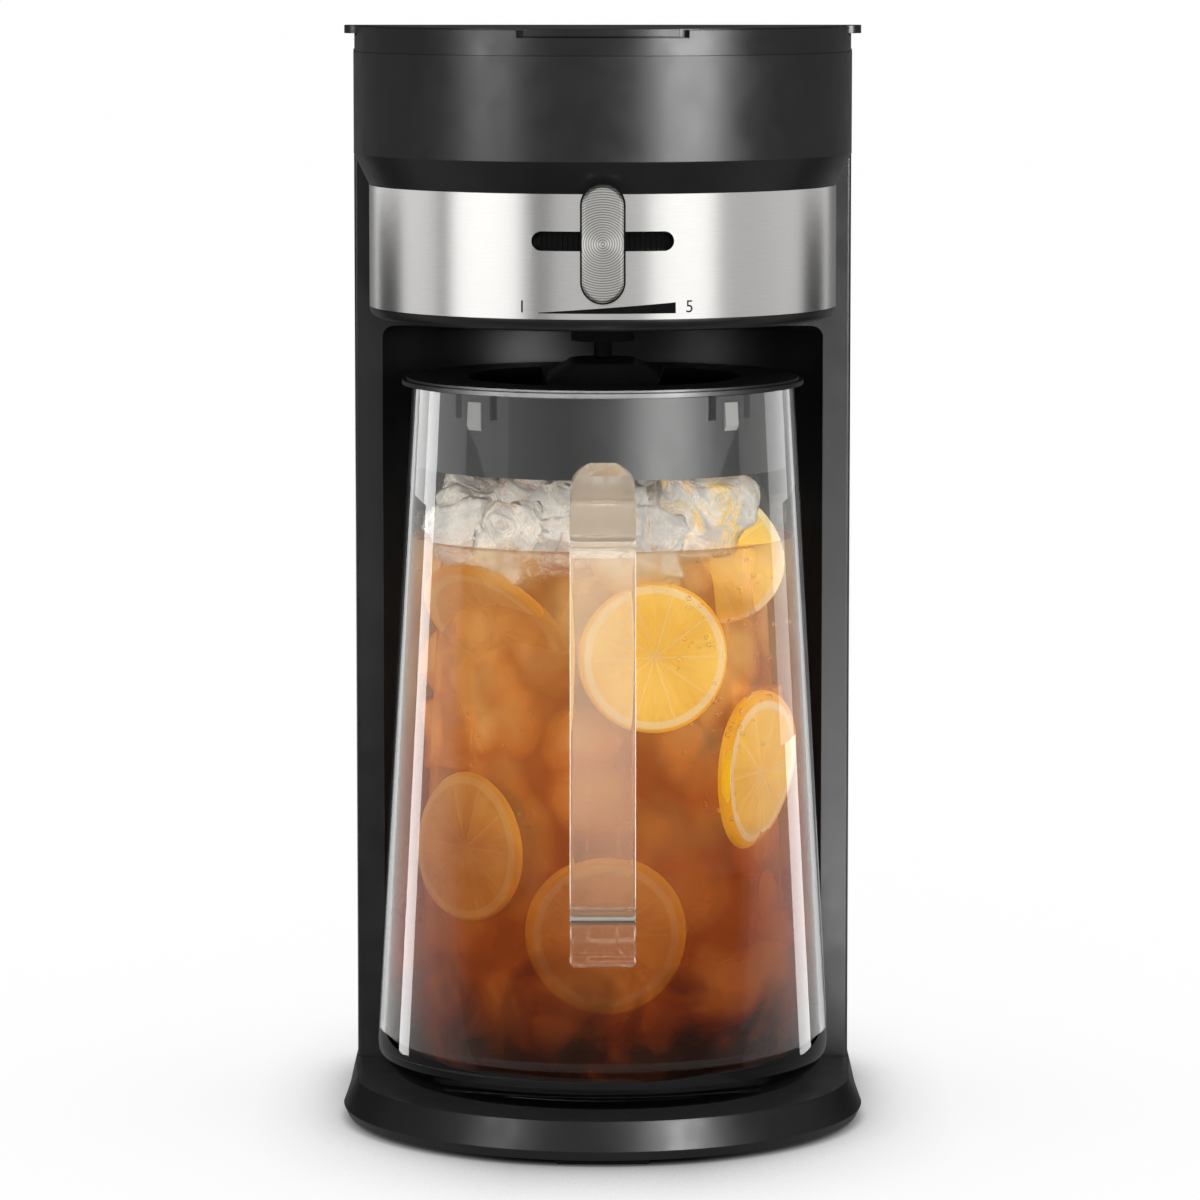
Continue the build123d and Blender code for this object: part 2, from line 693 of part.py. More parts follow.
with BuildPart() as hinge_pins:
    for side in (-1, 1):
        low_x, high_x = sorted((side * ear_spans[0][0], side * ear_spans[1][1]))
        add(on_hinge(hinge_pin_r, low_x, high_x))
write(hinge_pins, "lid_hinge_pins")

with BuildPart() as front_lip:
    add(prism(housing(RIM_STEP), 364.6, TOP_Z))
    add(block((-24.5, -100, 364), (24.5, -60, TOP_Z + 1)), mode=Mode.INTERSECT)

with BuildPart() as top_lid:
    add(prism(footprint(HEAD_R - lid_inset, SIDE_X - lid_inset, lid_back_y), lid_low_z, TOP_Z))
    # side grips and front lip reach out over the rim
    add(block((-wing_x, -wing_y, 364.4), (wing_x, wing_y, TOP_Z)))
    wing_corners = [
        edge for edge in top_lid.edges().filter_by(Axis.Z) if abs(abs(edge.center().X) - wing_x) < 0.1
    ]
    fillet(wing_corners, 5.0)
    add(front_lip.part)
    add(rear_fall(TOP_Z), mode=Mode.SUBTRACT)
    # lightening pocket under the front
    with BuildSketch(Plane.XY.offset(lid_low_z)):
        add(footprint(HEAD_R - lid_inset - 2.4, SIDE_X - lid_inset - 2.4, lid_back_y))
        with Locations((0, 100)):
            Rectangle(200, 100, mode=Mode.SUBTRACT)
    extrude(amount=2.4, mode=Mode.SUBTRACT)
    for side in (-1, 1):
        for near, far in ear_spans:
            low_x, high_x = sorted((side * (near - GAP), side * (far + GAP)))
            add(block((low_x, hinge_y - 5, lid_low_z - 1), (high_x, 130, TOP_Z)), mode=Mode.SUBTRACT)
        low_x, high_x = sorted((side * (ear_spans[1][1] + GAP), side * 100))
        add(block((low_x, lid_corner_y, lid_low_z - 1), (high_x, 130, TOP_Z)), mode=Mode.SUBTRACT)
        low_x, high_x = sorted((side * (ear_spans[0][1] + GAP), side * (ear_spans[1][0] - GAP)))
        add(on_hinge(barrel_r, low_x, high_x))
        add(on_hinge(hinge_pin_r + 0.06, low_x, high_x), mode=Mode.SUBTRACT)
write(top_lid, "top_lid")

spout_low_z = 351.3
spout_top_z = 359.7
spout_r = 4.2
spout_bore_r = 3.0
spout_reach = 40.0
outlet_share = spout_reach / heater_r
outlet_place = (PIPE_X * outlet_share, PIPE_Y * outlet_share)

with BuildPart() as spray_spout:
    # a closed channel from the riser to the basket's edge, with a socket below one end
    for radius, inset, mode in ((spout_r, 0, Mode.ADD), (spout_bore_r, 1.2, Mode.SUBTRACT)):
        with BuildSketch(Plane.XY.offset(spout_low_z + inset)):
            middle = (1 + outlet_share) / 2
            with Locations(Location((PIPE_X * middle, PIPE_Y * middle), heater_start)):
                SlotCenterToCenter(heater_r - spout_reach, 2 * radius)
        extrude(amount=spout_top_z - spout_low_z - 2 * inset, mode=mode)
        if mode == Mode.ADD:
            add(rod(PIPE_R + 1.6, DECK_TOP_Z, spout_low_z + 1.2, PIPE_X, PIPE_Y))
    add(rod(PIPE_R, DECK_TOP_Z, riser_top_z, PIPE_X, PIPE_Y), mode=Mode.SUBTRACT)
    add(rod(spout_bore_r, riser_top_z, spout_low_z + 2, PIPE_X, PIPE_Y), mode=Mode.SUBTRACT)
    add(rod(2.2, spout_low_z, spout_low_z + 2, *outlet_place), mode=Mode.SUBTRACT)
write(spray_spout, "spray_spout")

# ---------------------------------------------------------------- brewing parts
basket_floor_z = 291.0
port_r = 6.0
port_ring_r = 22.0
pivot_r = 3.0

with BuildPart() as brew_basket:
    add(
        turned([
            (0, basket_floor_z), (50, basket_floor_z), (61, DECK_TOP_Z), (67, DECK_TOP_Z),
            (67, DECK_TOP_Z + 2.4), (58.6, DECK_TOP_Z + 2.4), (47.8, basket_floor_z + 2.2),
            (0, basket_floor_z + 2.2),
        ])
    )
    add(rod(pivot_r, basket_floor_z - 3, basket_floor_z))
    with BuildSketch(Plane.XY.offset(basket_floor_z)):
        with PolarLocations(port_ring_r, 3, start_angle=90):
            Circle(port_r)
    extrude(amount=2.2, mode=Mode.SUBTRACT)
write(brew_basket, "brew_basket")

filter_low_z = 296.0
filter_top_z = 344.0
filter_low_r = 44.5
filter_top_r = 55.4
filter_rest_z = DECK_TOP_Z + 2.4
filter_rib_t = 1.2
filter_ring_t = 1.6         # the rings stand a little proud of the ribs

with BuildPart() as filter_rib:
    with BuildSketch(Plane.XZ):
        with BuildLine():
            Polyline(
                (filter_low_r - 1, filter_low_z),
                (filter_low_r + filter_rib_t, filter_low_z),
                (filter_top_r + filter_rib_t, filter_top_z),
                (filter_top_r - 1, filter_top_z),
                close=True,
            )
        make_face()
    extrude(amount=1.5, both=True)

with BuildPart() as filter_cone:
    add(
        turned([
            (0, filter_low_z), (filter_low_r, filter_low_z),
            (filter_top_r, filter_top_z), (0, filter_top_z),
        ])
    )

with BuildPart() as filter_frame:
    with PolarLocations(0, 6):
        add(filter_rib.part)
    add(
        turned([
            (0, filter_low_z),
            (filter_low_r + filter_ring_t, filter_low_z),
            (filter_low_r + filter_ring_t + 0.6, filter_low_z + 2.5),
            (0, filter_low_z + 2.5),
        ])
    )
    add(filter_cone.part, mode=Mode.SUBTRACT)
    add(
        turned([
            (filter_top_r, filter_top_z),
            (filter_top_r + filter_ring_t, filter_top_z),
            (filter_top_r + filter_ring_t, filter_rest_z),
            (62, filter_rest_z),
            (62, filter_rest_z + 1.6),
            (filter_top_r, filter_rest_z + 1.6),
        ])
    )
write(filter_frame, "filter_frame")

with BuildPart() as filter_mesh:
    mesh_t = 0.5
    add(
        turned([
            (0, filter_low_z),
            (filter_low_r, filter_low_z),
            (filter_top_r, filter_top_z),
            (filter_top_r - mesh_t, filter_top_z),
            (filter_low_r - mesh_t, filter_low_z + mesh_t),
            (0, filter_low_z + mesh_t),
        ])
    )
write(filter_mesh, "filter_mesh")

funnel_low_z = 262.2
funnel_bore_r = 8.5
seat_r = 4.6
seat_z = funnel_low_z + 2.0

with BuildPart() as drip_funnel:
    # a cone that gathers the tea, a neck with the valve's seat, and a foot ring on the head's floor
    add(
        turned([
            (seat_r, funnel_low_z),
            (10.6, funnel_low_z),
            (10.6, 274.0),
            (40.0, 286.0),
            (42.0, 286.0),
            (42.0, 288.0),
            (39.2, 288.0),
            (funnel_bore_r, 275.6),
            (funnel_bore_r, seat_z),
            (seat_r, seat_z),
        ])
    )
    add(turned([(30, HEAD_FLOOR_Z + WALL), (32, HEAD_FLOOR_Z + WALL), (32, 283.4), (30, 282.6)]))
write(drip_funnel, "drip_funnel")

plunger_tip_z = LID_DOME_Z + 0.4
stem_r = 3.0
guide_r = 2.4
valve_low_z = seat_z + 1.1
valve_top_z = valve_low_z + 2.0
spring_top_z = 285.8

with BuildPart() as drip_plunger:
    add(
        turned([
            (0, plunger_tip_z),
            (stem_r - 0.8, plunger_tip_z),
            (stem_r, plunger_tip_z + 0.8),
            (stem_r, valve_low_z),
            (7.0, valve_low_z),
            (7.0, valve_top_z),
            (guide_r, valve_top_z),
            (guide_r, 281.0),
            (0, 281.0),
        ])
    )
write(drip_plunger, "drip_plunger")

with BuildPart() as drip_seal:
    add(turned([(5.0, seat_z + 0.1), (7.4, seat_z + 0.1), (7.4, valve_low_z), (5.0, valve_low_z)]))
write(drip_seal, "drip_seal")

with BuildPart() as spring_bridge:
    add(block((-41, -3, spring_top_z), (41, 3, spring_top_z + 2)))
    add(
        turned([(0, spring_top_z - 1), (33.2, spring_top_z - 1), (39.2, 288.0), (0, 288.0)]),
        mode=Mode.INTERSECT,
    )
    add(drip_funnel.part, mode=Mode.SUBTRACT)
write(spring_bridge, "spring_bridge")

with BuildPart() as drip_spring:
    spring_r = 4.6
    wire_r = 0.45
    spring_low = valve_top_z + wire_r + 0.1
    spring_length = spring_top_z - wire_r - 0.1 - spring_low
    with BuildLine(Plane.XY.offset(spring_low)) as coil:
        Helix(pitch=spring_length / 6, height=spring_length, radius=spring_r)
    with BuildSketch(Plane(origin=coil.line @ 0, z_dir=coil.line % 0)):
        Circle(wire_r)
    sweep(path=coil.wires()[0], is_frenet=True)
write(drip_spring, "drip_spring")

# ---------------------------------------------------------------- strength control
shutter_low_z = 288.7
shutter_top_z = 290.7
shutter_r = 36.0
arm_y = 72.0
stem_half_x = 4.0
stem_half_z = 2.2
carrier_y = 80.0
knob_y = 82.2
knob_front_y = 84.8

with BuildPart() as strength_shutter:
    # a disc under the basket's floor that opens or covers its ports, turned by an arm to the front
    add(rod(shutter_r, shutter_low_z, shutter_top_z))
    add(block((-5, -arm_y, shutter_low_z), (5, -30, shutter_top_z)))
    add(block((-5, -arm_y, shutter_low_z), (5, -arm_y + 3.6, SLOT_Z + stem_half_z)))
    add(rod(pivot_r + 0.06, shutter_low_z, shutter_top_z), mode=Mode.SUBTRACT)
    with BuildSketch(Plane.XY.offset(shutter_low_z)):
        with PolarLocations(port_ring_r, 3, start_angle=90 + 12):
            Circle(port_r)
    extrude(amount=shutter_top_z - shutter_low_z, mode=Mode.SUBTRACT)
write(strength_shutter, "strength_shutter")

with BuildPart() as knob_carrier:
    with BuildSketch(Plane.XZ.offset(carrier_y)):
        with Locations((0, KNOB_Z)):
            SlotOverall(KNOB_H + 1.2, KNOB_W + 1.2, rotation=90)
    extrude(amount=knob_y - carrier_y)
    add(
        block(
            (-stem_half_x, -carrier_y, SLOT_Z - stem_half_z),
            (stem_half_x, -arm_y, SLOT_Z + stem_half_z),
        )
    )
write(knob_carrier, "knob_carrier")

curtain_r = 74.2            # the curtain slides just inside the head's wall
curtain_t = 1.6
curtain_low_z = 294.6
curtain_top_z = 303.9
curtain_half_angle = 31.0   # still covers the slot at both ends of the knob's travel
rib_count = 46
rib_depth = 0.45

with BuildPart() as slot_curtain:
    # a ribbed strip behind the slot that hides the inside of the head
    inner_r = curtain_r - curtain_t
    start = -90 - curtain_half_angle
    rib_step = 2 * curtain_half_angle / rib_count
    ribs = []
    for rib in range(rib_count):
        for share, radius in ((0.0, curtain_r), (0.5, curtain_r), (0.5, curtain_r - rib_depth),
                              (1.0, curtain_r - rib_depth)):
            angle = radians(start + (rib + share) * rib_step)
            ribs.append((radius * cos(angle), radius * sin(angle)))
    ends = [radians(-90 + side * curtain_half_angle) for side in (1, -1)]
    with BuildSketch(Plane.XY.offset(curtain_low_z)):
        with BuildLine():
            Polyline(*ribs)
            Line(ribs[-1], (inner_r * cos(ends[0]), inner_r * sin(ends[0])))
            ThreePointArc(
                (inner_r * cos(ends[0]), inner_r * sin(ends[0])),
                (0, -inner_r),
                (inner_r * cos(ends[1]), inner_r * sin(ends[1])),
            )
            Line((inner_r * cos(ends[1]), inner_r * sin(ends[1])), ribs[0])
        make_face()
    extrude(amount=curtain_top_z - curtain_low_z)
    add(knob_carrier.part, mode=Mode.SUBTRACT)
write(slot_curtain, "slot_curtain")

with BuildPart() as strength_knob:
    with BuildSketch(Plane.XZ.offset(knob_y)):
        with Locations((0, KNOB_Z)):
            SlotOverall(KNOB_H, KNOB_W, rotation=90)
    extrude(amount=knob_front_y - knob_y)
    chamfer(strength_knob.faces().sort_by(Axis.Y)[0].edges(), 0.8)
write(strength_knob, "strength_knob")

# ---------------------------------------------------------------- pitcher
jar_corner_r = 12.5
jar_corner_z = JAR_FLOOR_Z + jar_corner_r
jar_lean = degrees(atan2(JAR_WIDE_R - JAR_TOP_R, JAR_TOP_Z - jar_corner_z))
jar_inner_floor_z = 20.5
spout_y = 55.5


def jar_solid(inset, floor_z, corner, foot):
    """The jar's turned shape: a floor, a round corner that runs into the leaning wall, a flat top."""
    low_r = JAR_WIDE_R - inset
    lean = radians(jar_lean)
    centre = (low_r - corner, floor_z + corner)
    wall_end = (centre[0] + corner * cos(lean), centre[1] + corner * sin(lean))
    halfway = radians((jar_lean - 90) / 2)
    with BuildPart() as piece:
        with BuildSketch(Plane.XZ):
            with BuildLine():
                Polyline((0, JAR_TOP_Z), (0, floor_z + foot), (54, floor_z + foot), (56, floor_z))
                Line((56, floor_z), (centre[0], floor_z))
                ThreePointArc(
                    (centre[0], floor_z),
                    (centre[0] + corner * cos(halfway), centre[1] + corner * sin(halfway)),
                    wall_end,
                )
                Line(wall_end, (JAR_TOP_R - inset, JAR_TOP_Z))
                Line((JAR_TOP_R - inset, JAR_TOP_Z), (0, JAR_TOP_Z))
            make_face()
        revolve(axis=Axis.Z)
    return piece.part


def spout_lobe(inset):
    """The pouring lip's bulge at the jar's rear: a tilted cone that grows towards the rim."""
    with BuildPart() as piece:
        with BuildSketch(Plane.XY.offset(205.0)):
            with Locations((0, 50)):
                Circle(14.0 - inset)
        with BuildSketch(Plane.XY.offset(JAR_TOP_Z)):
            with Locations((0, spout_y)):
                Circle(16.5 - inset)
        loft()
    return piece.part


with BuildPart() as pitcher_jar:
    add(jar_solid(0, JAR_FLOOR_Z, jar_corner_r, 1.4))
    add(spout_lobe(0))
    add(jar_solid(JAR_WALL, jar_inner_floor_z, 10.0, 0.3), mode=Mode.SUBTRACT)
    add(spout_lobe(JAR_WALL), mode=Mode.SUBTRACT)
write(pitcher_jar, "pitcher_jar")

grip_y = -120.23            # corner that the grip's foot would have without its rounding
arch_foot_z = 219.0
arch_rise = 8.6

with BuildPart() as pitcher_handle:
    # a closed loop: sloping upper arm, long grip that leans with the jar's wall, lower arm
    with BuildSketch(Plane.YZ):
        with BuildLine():
            FilletPolyline(
                (-58, 228.2), (-112.6, 218.4), (grip_y, 70.6), (-66, 65.8), (-58, 228.2), radius=5.0
            )
        make_face()
        with BuildLine():
            FilletPolyline(
                (-54, 213.0), (-101, 206.0), (grip_y + 12.2, 82.5), (-62, 78.6), (-54, 213.0), radius=8.0
            )
        make_face(mode=Mode.SUBTRACT)
    extrude(amount=HANDLE_W / 2, both=True)
    long_edges = [
        edge
        for edge in pitcher_handle.edges()
        if abs(abs(edge.center().X) - HANDLE_W / 2) < 0.01 and edge.center().Y < -75
    ]
    fillet(long_edges, 1.6)
    # seen from the front, the upper arm rises to a round arch where it meets the jar
    with BuildSketch(Plane.XZ.offset(40)):
        with Locations((0, arch_foot_z)):
            Ellipse(HANDLE_W / 2 + 0.01, arch_rise)
        with Locations((0, arch_foot_z - 90)):
            Rectangle(HANDLE_W + 0.02, 180)
    extrude(amount=90, mode=Mode.INTERSECT)
    add(jar_solid(0, JAR_FLOOR_Z, jar_corner_r, 1.4), mode=Mode.SUBTRACT)
write(pitcher_handle, "pitcher_handle")

well_r = 46.0
well_floor_z = 238.0
collar_r = 61.0
collar_low_z = 220.7
lid_wall = 2.0

with BuildPart() as lid_bar:
    # the grip that crosses the lid from front to rear, with a low mound in its middle
    with BuildSketch(Plane.XY.offset(well_floor_z)):
        with BuildLine():
            reach = well_r + 1
            Polyline((-21, reach), (21, reach), (17.5, -reach), (-17.5, -reach), close=True)
        make_face()
    extrude(amount=LID_TOP_Z - well_floor_z)
    add(rod(well_r + 0.5, well_floor_z, LID_TOP_Z), mode=Mode.INTERSECT)
    with BuildSketch(Plane.XY.offset(LID_TOP_Z)):
        RectangleRounded(37.0, 62.0, 14.0)
    with BuildSketch(Plane.XY.offset(LID_DOME_Z)):
        RectangleRounded(21.6, 42.0, 9.0)
    loft()
    fillet(lid_bar.faces().sort_by(Axis.Z)[-1].edges(), 2.0)

with BuildPart() as pitcher_lid:
    add(
        turned([
            (0, well_floor_z - lid_wall),
            (well_r + lid_wall, well_floor_z - lid_wall),
            (well_r + lid_wall, LID_FLANGE_Z),
            (collar_r - 2.5, LID_FLANGE_Z),
            (collar_r - 2.5, collar_low_z),
            (collar_r, collar_low_z),
            (collar_r, LID_FLANGE_Z),
            (LID_FLANGE_R, LID_FLANGE_Z),
            (LID_FLANGE_R, LID_TOP_Z - 0.9),
            (LID_FLANGE_R - 1.6, LID_TOP_Z - 0.9),
            (LID_FLANGE_R - 1.6, LID_TOP_Z),
            (well_r, LID_TOP_Z),
            (well_r, well_floor_z),
            (0, well_floor_z),
        ])
    )
    add(lid_bar.part)
    # tea runs through a slot in each well
    with BuildSketch(Plane.XY.offset(well_floor_z - lid_wall)):
        with Locations((-33, 0), (33, 0)):
            SlotOverall(30, 9, rotation=90)
    extrude(amount=lid_wall, mode=Mode.SUBTRACT)
    # snap tongues at the front: a slot on each side of a small wedge
    for angle in (-49.4, -35.2, 35.2, 49.4):
        with BuildSketch(radial_plane(angle - 90)):
            with Locations((collar_r - 1, (239.4 + LID_FLANGE_Z) / 2)):
                Rectangle(5, LID_FLANGE_Z - 239.4)
        extrude(amount=1.5, both=True, mode=Mode.SUBTRACT)
    # strainer slots at the rear, in line with the jar's spout
    for angle in (-18, -9, 0, 9, 18):
        with BuildSketch(radial_plane(angle + 90)):
            with Locations((collar_r - 1, 235)):
                Rectangle(5, 20)
        extrude(amount=2.3, both=True, mode=Mode.SUBTRACT)
    for angle in (-44.8, 39.8):
        with BuildSketch(radial_plane(angle - 90)):
            with BuildLine():
                Polyline(
                    (collar_r - 0.5, 235.8),
                    (collar_r, 235.8),
                    (collar_r + 0.75, 237.4),
                    (collar_r + 0.2, 245.0),
                    (collar_r - 0.5, 245.0),
                    close=True,
                )
            make_face()
        revolve(axis=Axis.Z, revolution_arc=5)
write(pitcher_lid, "pitcher_lid")
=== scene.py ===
# %% [markdown]
# # Dressing an iced tea maker
# The machine is a black plastic housing with a brushed steel band round its head, and a clear
# pitcher that stands in a round niche. Its solids already exist, so this lesson gives them
# their finishes, fills the pitcher with tea, ice and lemon, and lights the whole as in a studio.
# %% Load the solids
import json
from math import cos, pi, radians, sin, sqrt
from random import Random

import bmesh
import bpy
from mathutils import Matrix, Vector, noise

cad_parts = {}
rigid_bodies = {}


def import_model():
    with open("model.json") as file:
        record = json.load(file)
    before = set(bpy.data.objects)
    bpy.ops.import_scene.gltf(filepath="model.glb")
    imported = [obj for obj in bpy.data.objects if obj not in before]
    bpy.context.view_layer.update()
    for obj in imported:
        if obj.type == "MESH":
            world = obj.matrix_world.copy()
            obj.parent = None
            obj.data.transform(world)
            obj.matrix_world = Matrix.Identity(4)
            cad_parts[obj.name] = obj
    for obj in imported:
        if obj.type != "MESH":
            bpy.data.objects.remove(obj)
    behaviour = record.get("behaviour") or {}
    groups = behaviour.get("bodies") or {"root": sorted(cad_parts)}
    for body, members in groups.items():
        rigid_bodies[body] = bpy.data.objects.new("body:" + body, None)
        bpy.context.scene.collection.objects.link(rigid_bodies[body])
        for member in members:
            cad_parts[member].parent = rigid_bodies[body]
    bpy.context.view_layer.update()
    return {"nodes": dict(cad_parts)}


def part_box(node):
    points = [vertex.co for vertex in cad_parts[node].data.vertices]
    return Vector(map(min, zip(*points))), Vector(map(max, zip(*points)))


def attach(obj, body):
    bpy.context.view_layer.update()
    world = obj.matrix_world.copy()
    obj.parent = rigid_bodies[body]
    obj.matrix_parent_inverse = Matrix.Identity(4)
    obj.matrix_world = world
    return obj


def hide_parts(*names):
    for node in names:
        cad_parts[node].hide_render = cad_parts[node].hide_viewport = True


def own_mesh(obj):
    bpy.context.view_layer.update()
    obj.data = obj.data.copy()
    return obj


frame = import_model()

nodes = frame["nodes"]
MM = 0.001

# %% [markdown]
# ## Small helpers
# Colours are written as the hex codes that a paint program shows. Shaders work in linear light,
# so one function converts them. A second small function adds any shader node, sets its
# properties, feeds its sockets and places a colour ramp's stops. It takes hex codes as they
# are, so each material reads from top to bottom.
# %% Colour and node helpers
def linear(code):
    """A hex colour as the linear RGBA that shaders expect."""
    parts = [int(code[i:i + 2], 16) / 255 for i in (1, 3, 5)]
    light = [c / 12.92 if c <= 0.04045 else ((c + 0.055) / 1.055) ** 2.4 for c in parts]
    return (*light, 1.0)


def add_node(tree, kind, feeds=None, stops=(), **settings):
    """Adds one shader node; settings are its properties and feeds go to its sockets.

    A feed is a value, a hex colour, a node or one of its outputs. The stops of a colour ramp
    are (place, hex colour), or (place, number) for a grey."""
    node = tree.nodes.new("ShaderNode" + kind)
    for name, value in settings.items():
        setattr(node, name, value)
    for name, value in (feeds or {}).items():
        if isinstance(value, bpy.types.Node):
            value = value.outputs[0]
        if isinstance(value, bpy.types.NodeSocket):
            tree.links.new(value, node.inputs[name])
        else:
            node.inputs[name].default_value = linear(value) if isinstance(value, str) else value
    for _ in stops[2:]:
        node.color_ramp.elements.new(0.5)
    if stops:
        for mark, (place, shade) in zip(node.color_ramp.elements, stops):
            mark.position = place
            mark.color = linear(shade) if isinstance(shade, str) else (shade, shade, shade, 1)
    return node


def new_finish(name):
    """An empty material and its node tree, ready to be filled."""
    finish = bpy.data.materials.new(name)
    finish.use_nodes = True
    finish.node_tree.nodes.clear()
    return finish, finish.node_tree


print("dark grey #2b2b2d in linear light:", [round(c, 4) for c in linear("#2b2b2d")[:3]])

# %% Size, place and the last node
def scale_for(size_mm):
    """The texture scale that makes blotches about size_mm across."""
    return 1 / (size_mm * MM)


def point_on(tree):
    """The piece's own coordinates, their x, y and z apart, and the angle round the axis."""
    coords = add_node(tree, "TexCoord").outputs["Object"]
    xyz = add_node(tree, "SeparateXYZ", {"Vector": coords}).outputs
    turn = add_node(tree, "Math", {0: xyz["Y"], 1: xyz["X"]}, operation="ARCTAN2")
    return coords, xyz, turn


def finish_with(tree, shader, through_shadow=False):
    """Connects the shader; through_shadow lets the lamps' light pass, as clear things do."""
    out = add_node(tree, "OutputMaterial")
    if through_shadow:
        clear = add_node(tree, "BsdfTransparent")
        path = add_node(tree, "LightPath")
        shader = add_node(tree, "MixShader", {
            "Fac": path.outputs["Is Shadow Ray"], 1: shader, 2: clear})
    tree.links.new(shader.outputs[0], out.inputs["Surface"])


print("noise scale for 5 mm blotches:", round(scale_for(5)), "per metre")

# %% [markdown]
# ## Moulded plastics
# The housing is satin ABS, moulded in a spark-eroded tool: dark, slightly uneven in gloss, with
# a very fine grain that breaks up reflections. The inner parts are a duller polypropylene.
# The real grain is about 0.1 mm, which is finer than a pixel, so it is drawn at 0.5 mm and kept
# shallow. A Bevel node rounds the sharp edges of the solids by a few tenths of a millimetre.
# %% A moulded plastic
MOTTLE_MM, GLOSS_PATCH_MM = 45, 9


def moulded(name, dark, light, roughness, grain_mm, grain_depth_mm, specular=0.5, edge_mm=0.35):
    """A plastic with mottled colour, uneven gloss, moulded grain and softened edges."""
    finish, tree = new_finish(name)
    coords = add_node(tree, "TexCoord").outputs["Object"]
    mottle = add_node(tree, "TexNoise", {
        "Vector": coords, "Scale": scale_for(MOTTLE_MM), "Detail": 3})
    colour = add_node(tree, "ValToRGB", {"Fac": mottle}, [(0.35, dark), (0.68, light)])
    patch = add_node(tree, "TexNoise", {
        "Vector": coords, "Scale": scale_for(GLOSS_PATCH_MM), "Detail": 4})
    gloss = add_node(tree, "ValToRGB", {"Fac": patch}, [
        (0.3, roughness - 0.03), (0.7, roughness + 0.05)])
    edge = add_node(tree, "Bevel", {"Radius": edge_mm * MM}, samples=3)
    grain = add_node(tree, "TexNoise", {
        "Vector": coords, "Scale": scale_for(grain_mm), "Detail": 1})
    bump = add_node(tree, "Bump", {
        "Height": grain, "Distance": grain_depth_mm * MM, "Normal": edge})
    body = add_node(tree, "BsdfPrincipled", {
        "Base Color": colour, "Roughness": gloss, "IOR": 1.53,
        "Specular IOR Level": specular, "Normal": bump})
    finish_with(tree, body)
    return finish


satin_abs = moulded("satin_moulded_abs", "#242425", "#2b2b2c", 0.33, 0.5, 0.006, 0.62)
textured_pp = moulded("textured_polypropylene", "#0f0f10", "#151516", 0.46, 0.7, 0.012, 0.5, 0.25)
gloss_abs = moulded("polished_abs", "#0d0d0e", "#111113", 0.14, 2.5, 0.003, 0.6, 0.3)
rubber = moulded("moulded_rubber", "#101010", "#191918", 0.72, 0.9, 0.03, 0.35, 0.5)
silicone = moulded("milky_silicone", "#b9b8b2", "#cdccc6", 0.5, 1.2, 0.01, 0.45, 0.3)
tank_pp = moulded("natural_polypropylene", "#c6c9cb", "#d8dadb", 0.38, 1.5, 0.01, 0.5, 0.5)
print("plastics:", satin_abs.name, textured_pp.name, gloss_abs.name, rubber.name, silicone.name,
      tank_pp.name)

# %% [markdown]
# ## Brushed steel band
# The band is stainless sheet brushed along its length, so each scratch runs round the head.
# Scratches smear a reflection across themselves: here up and down, which turns lamps into
# upright streaks. Anisotropy does that with one number. The real lines are about 0.05 mm
# apart; they are drawn at 0.35 mm so that they just show, about 20 times as long as wide.
# %% Brushed stainless steel
LINE_MM, ALONG_SQUEEZE = 0.35, 0.004


def brushed_steel():
    """Stainless steel whose fine lines run round the upright axis."""
    finish, tree = new_finish("brushed_stainless")
    _, xyz, turn = point_on(tree)
    along = add_node(tree, "Math", {0: turn, 1: ALONG_SQUEEZE}, operation="MULTIPLY")
    lines = add_node(tree, "CombineXYZ", {"X": along, "Z": xyz["Z"]})
    streaks = add_node(tree, "TexNoise", {
        "Vector": lines, "Scale": scale_for(LINE_MM), "Detail": 3})
    colour = add_node(tree, "ValToRGB", {"Fac": streaks}, [(0.2, "#bdbcba"), (0.8, "#cbcac8")])
    gloss = add_node(tree, "ValToRGB", {"Fac": streaks}, [(0.25, 0.28), (0.75, 0.36)])
    bump = add_node(tree, "Bump", {"Height": streaks, "Distance": 0.002 * MM})
    steel = add_node(tree, "BsdfPrincipled", {
        "Base Color": colour, "Metallic": 1.0, "Roughness": gloss, "Anisotropic": 0.6,
        "Anisotropic Rotation": 0.25, "Normal": bump,
        "Tangent": add_node(tree, "Tangent", direction_type="RADIAL", axis="Z")})
    finish_with(tree, steel)
    return finish


brushed_band = brushed_steel()
print("band:", brushed_band.name)

# %% [markdown]
# ## Spun knob
# The slider's face is aluminium turned on a lathe, which leaves rings round its middle. The
# scratches run along the rings, so reflections smear outwards and make two bright fans. The
# rings are 0.25 mm apart on a real part and are drawn 0.8 mm apart.
# %% Spun aluminium
RING_SPACING = 0.8 * MM


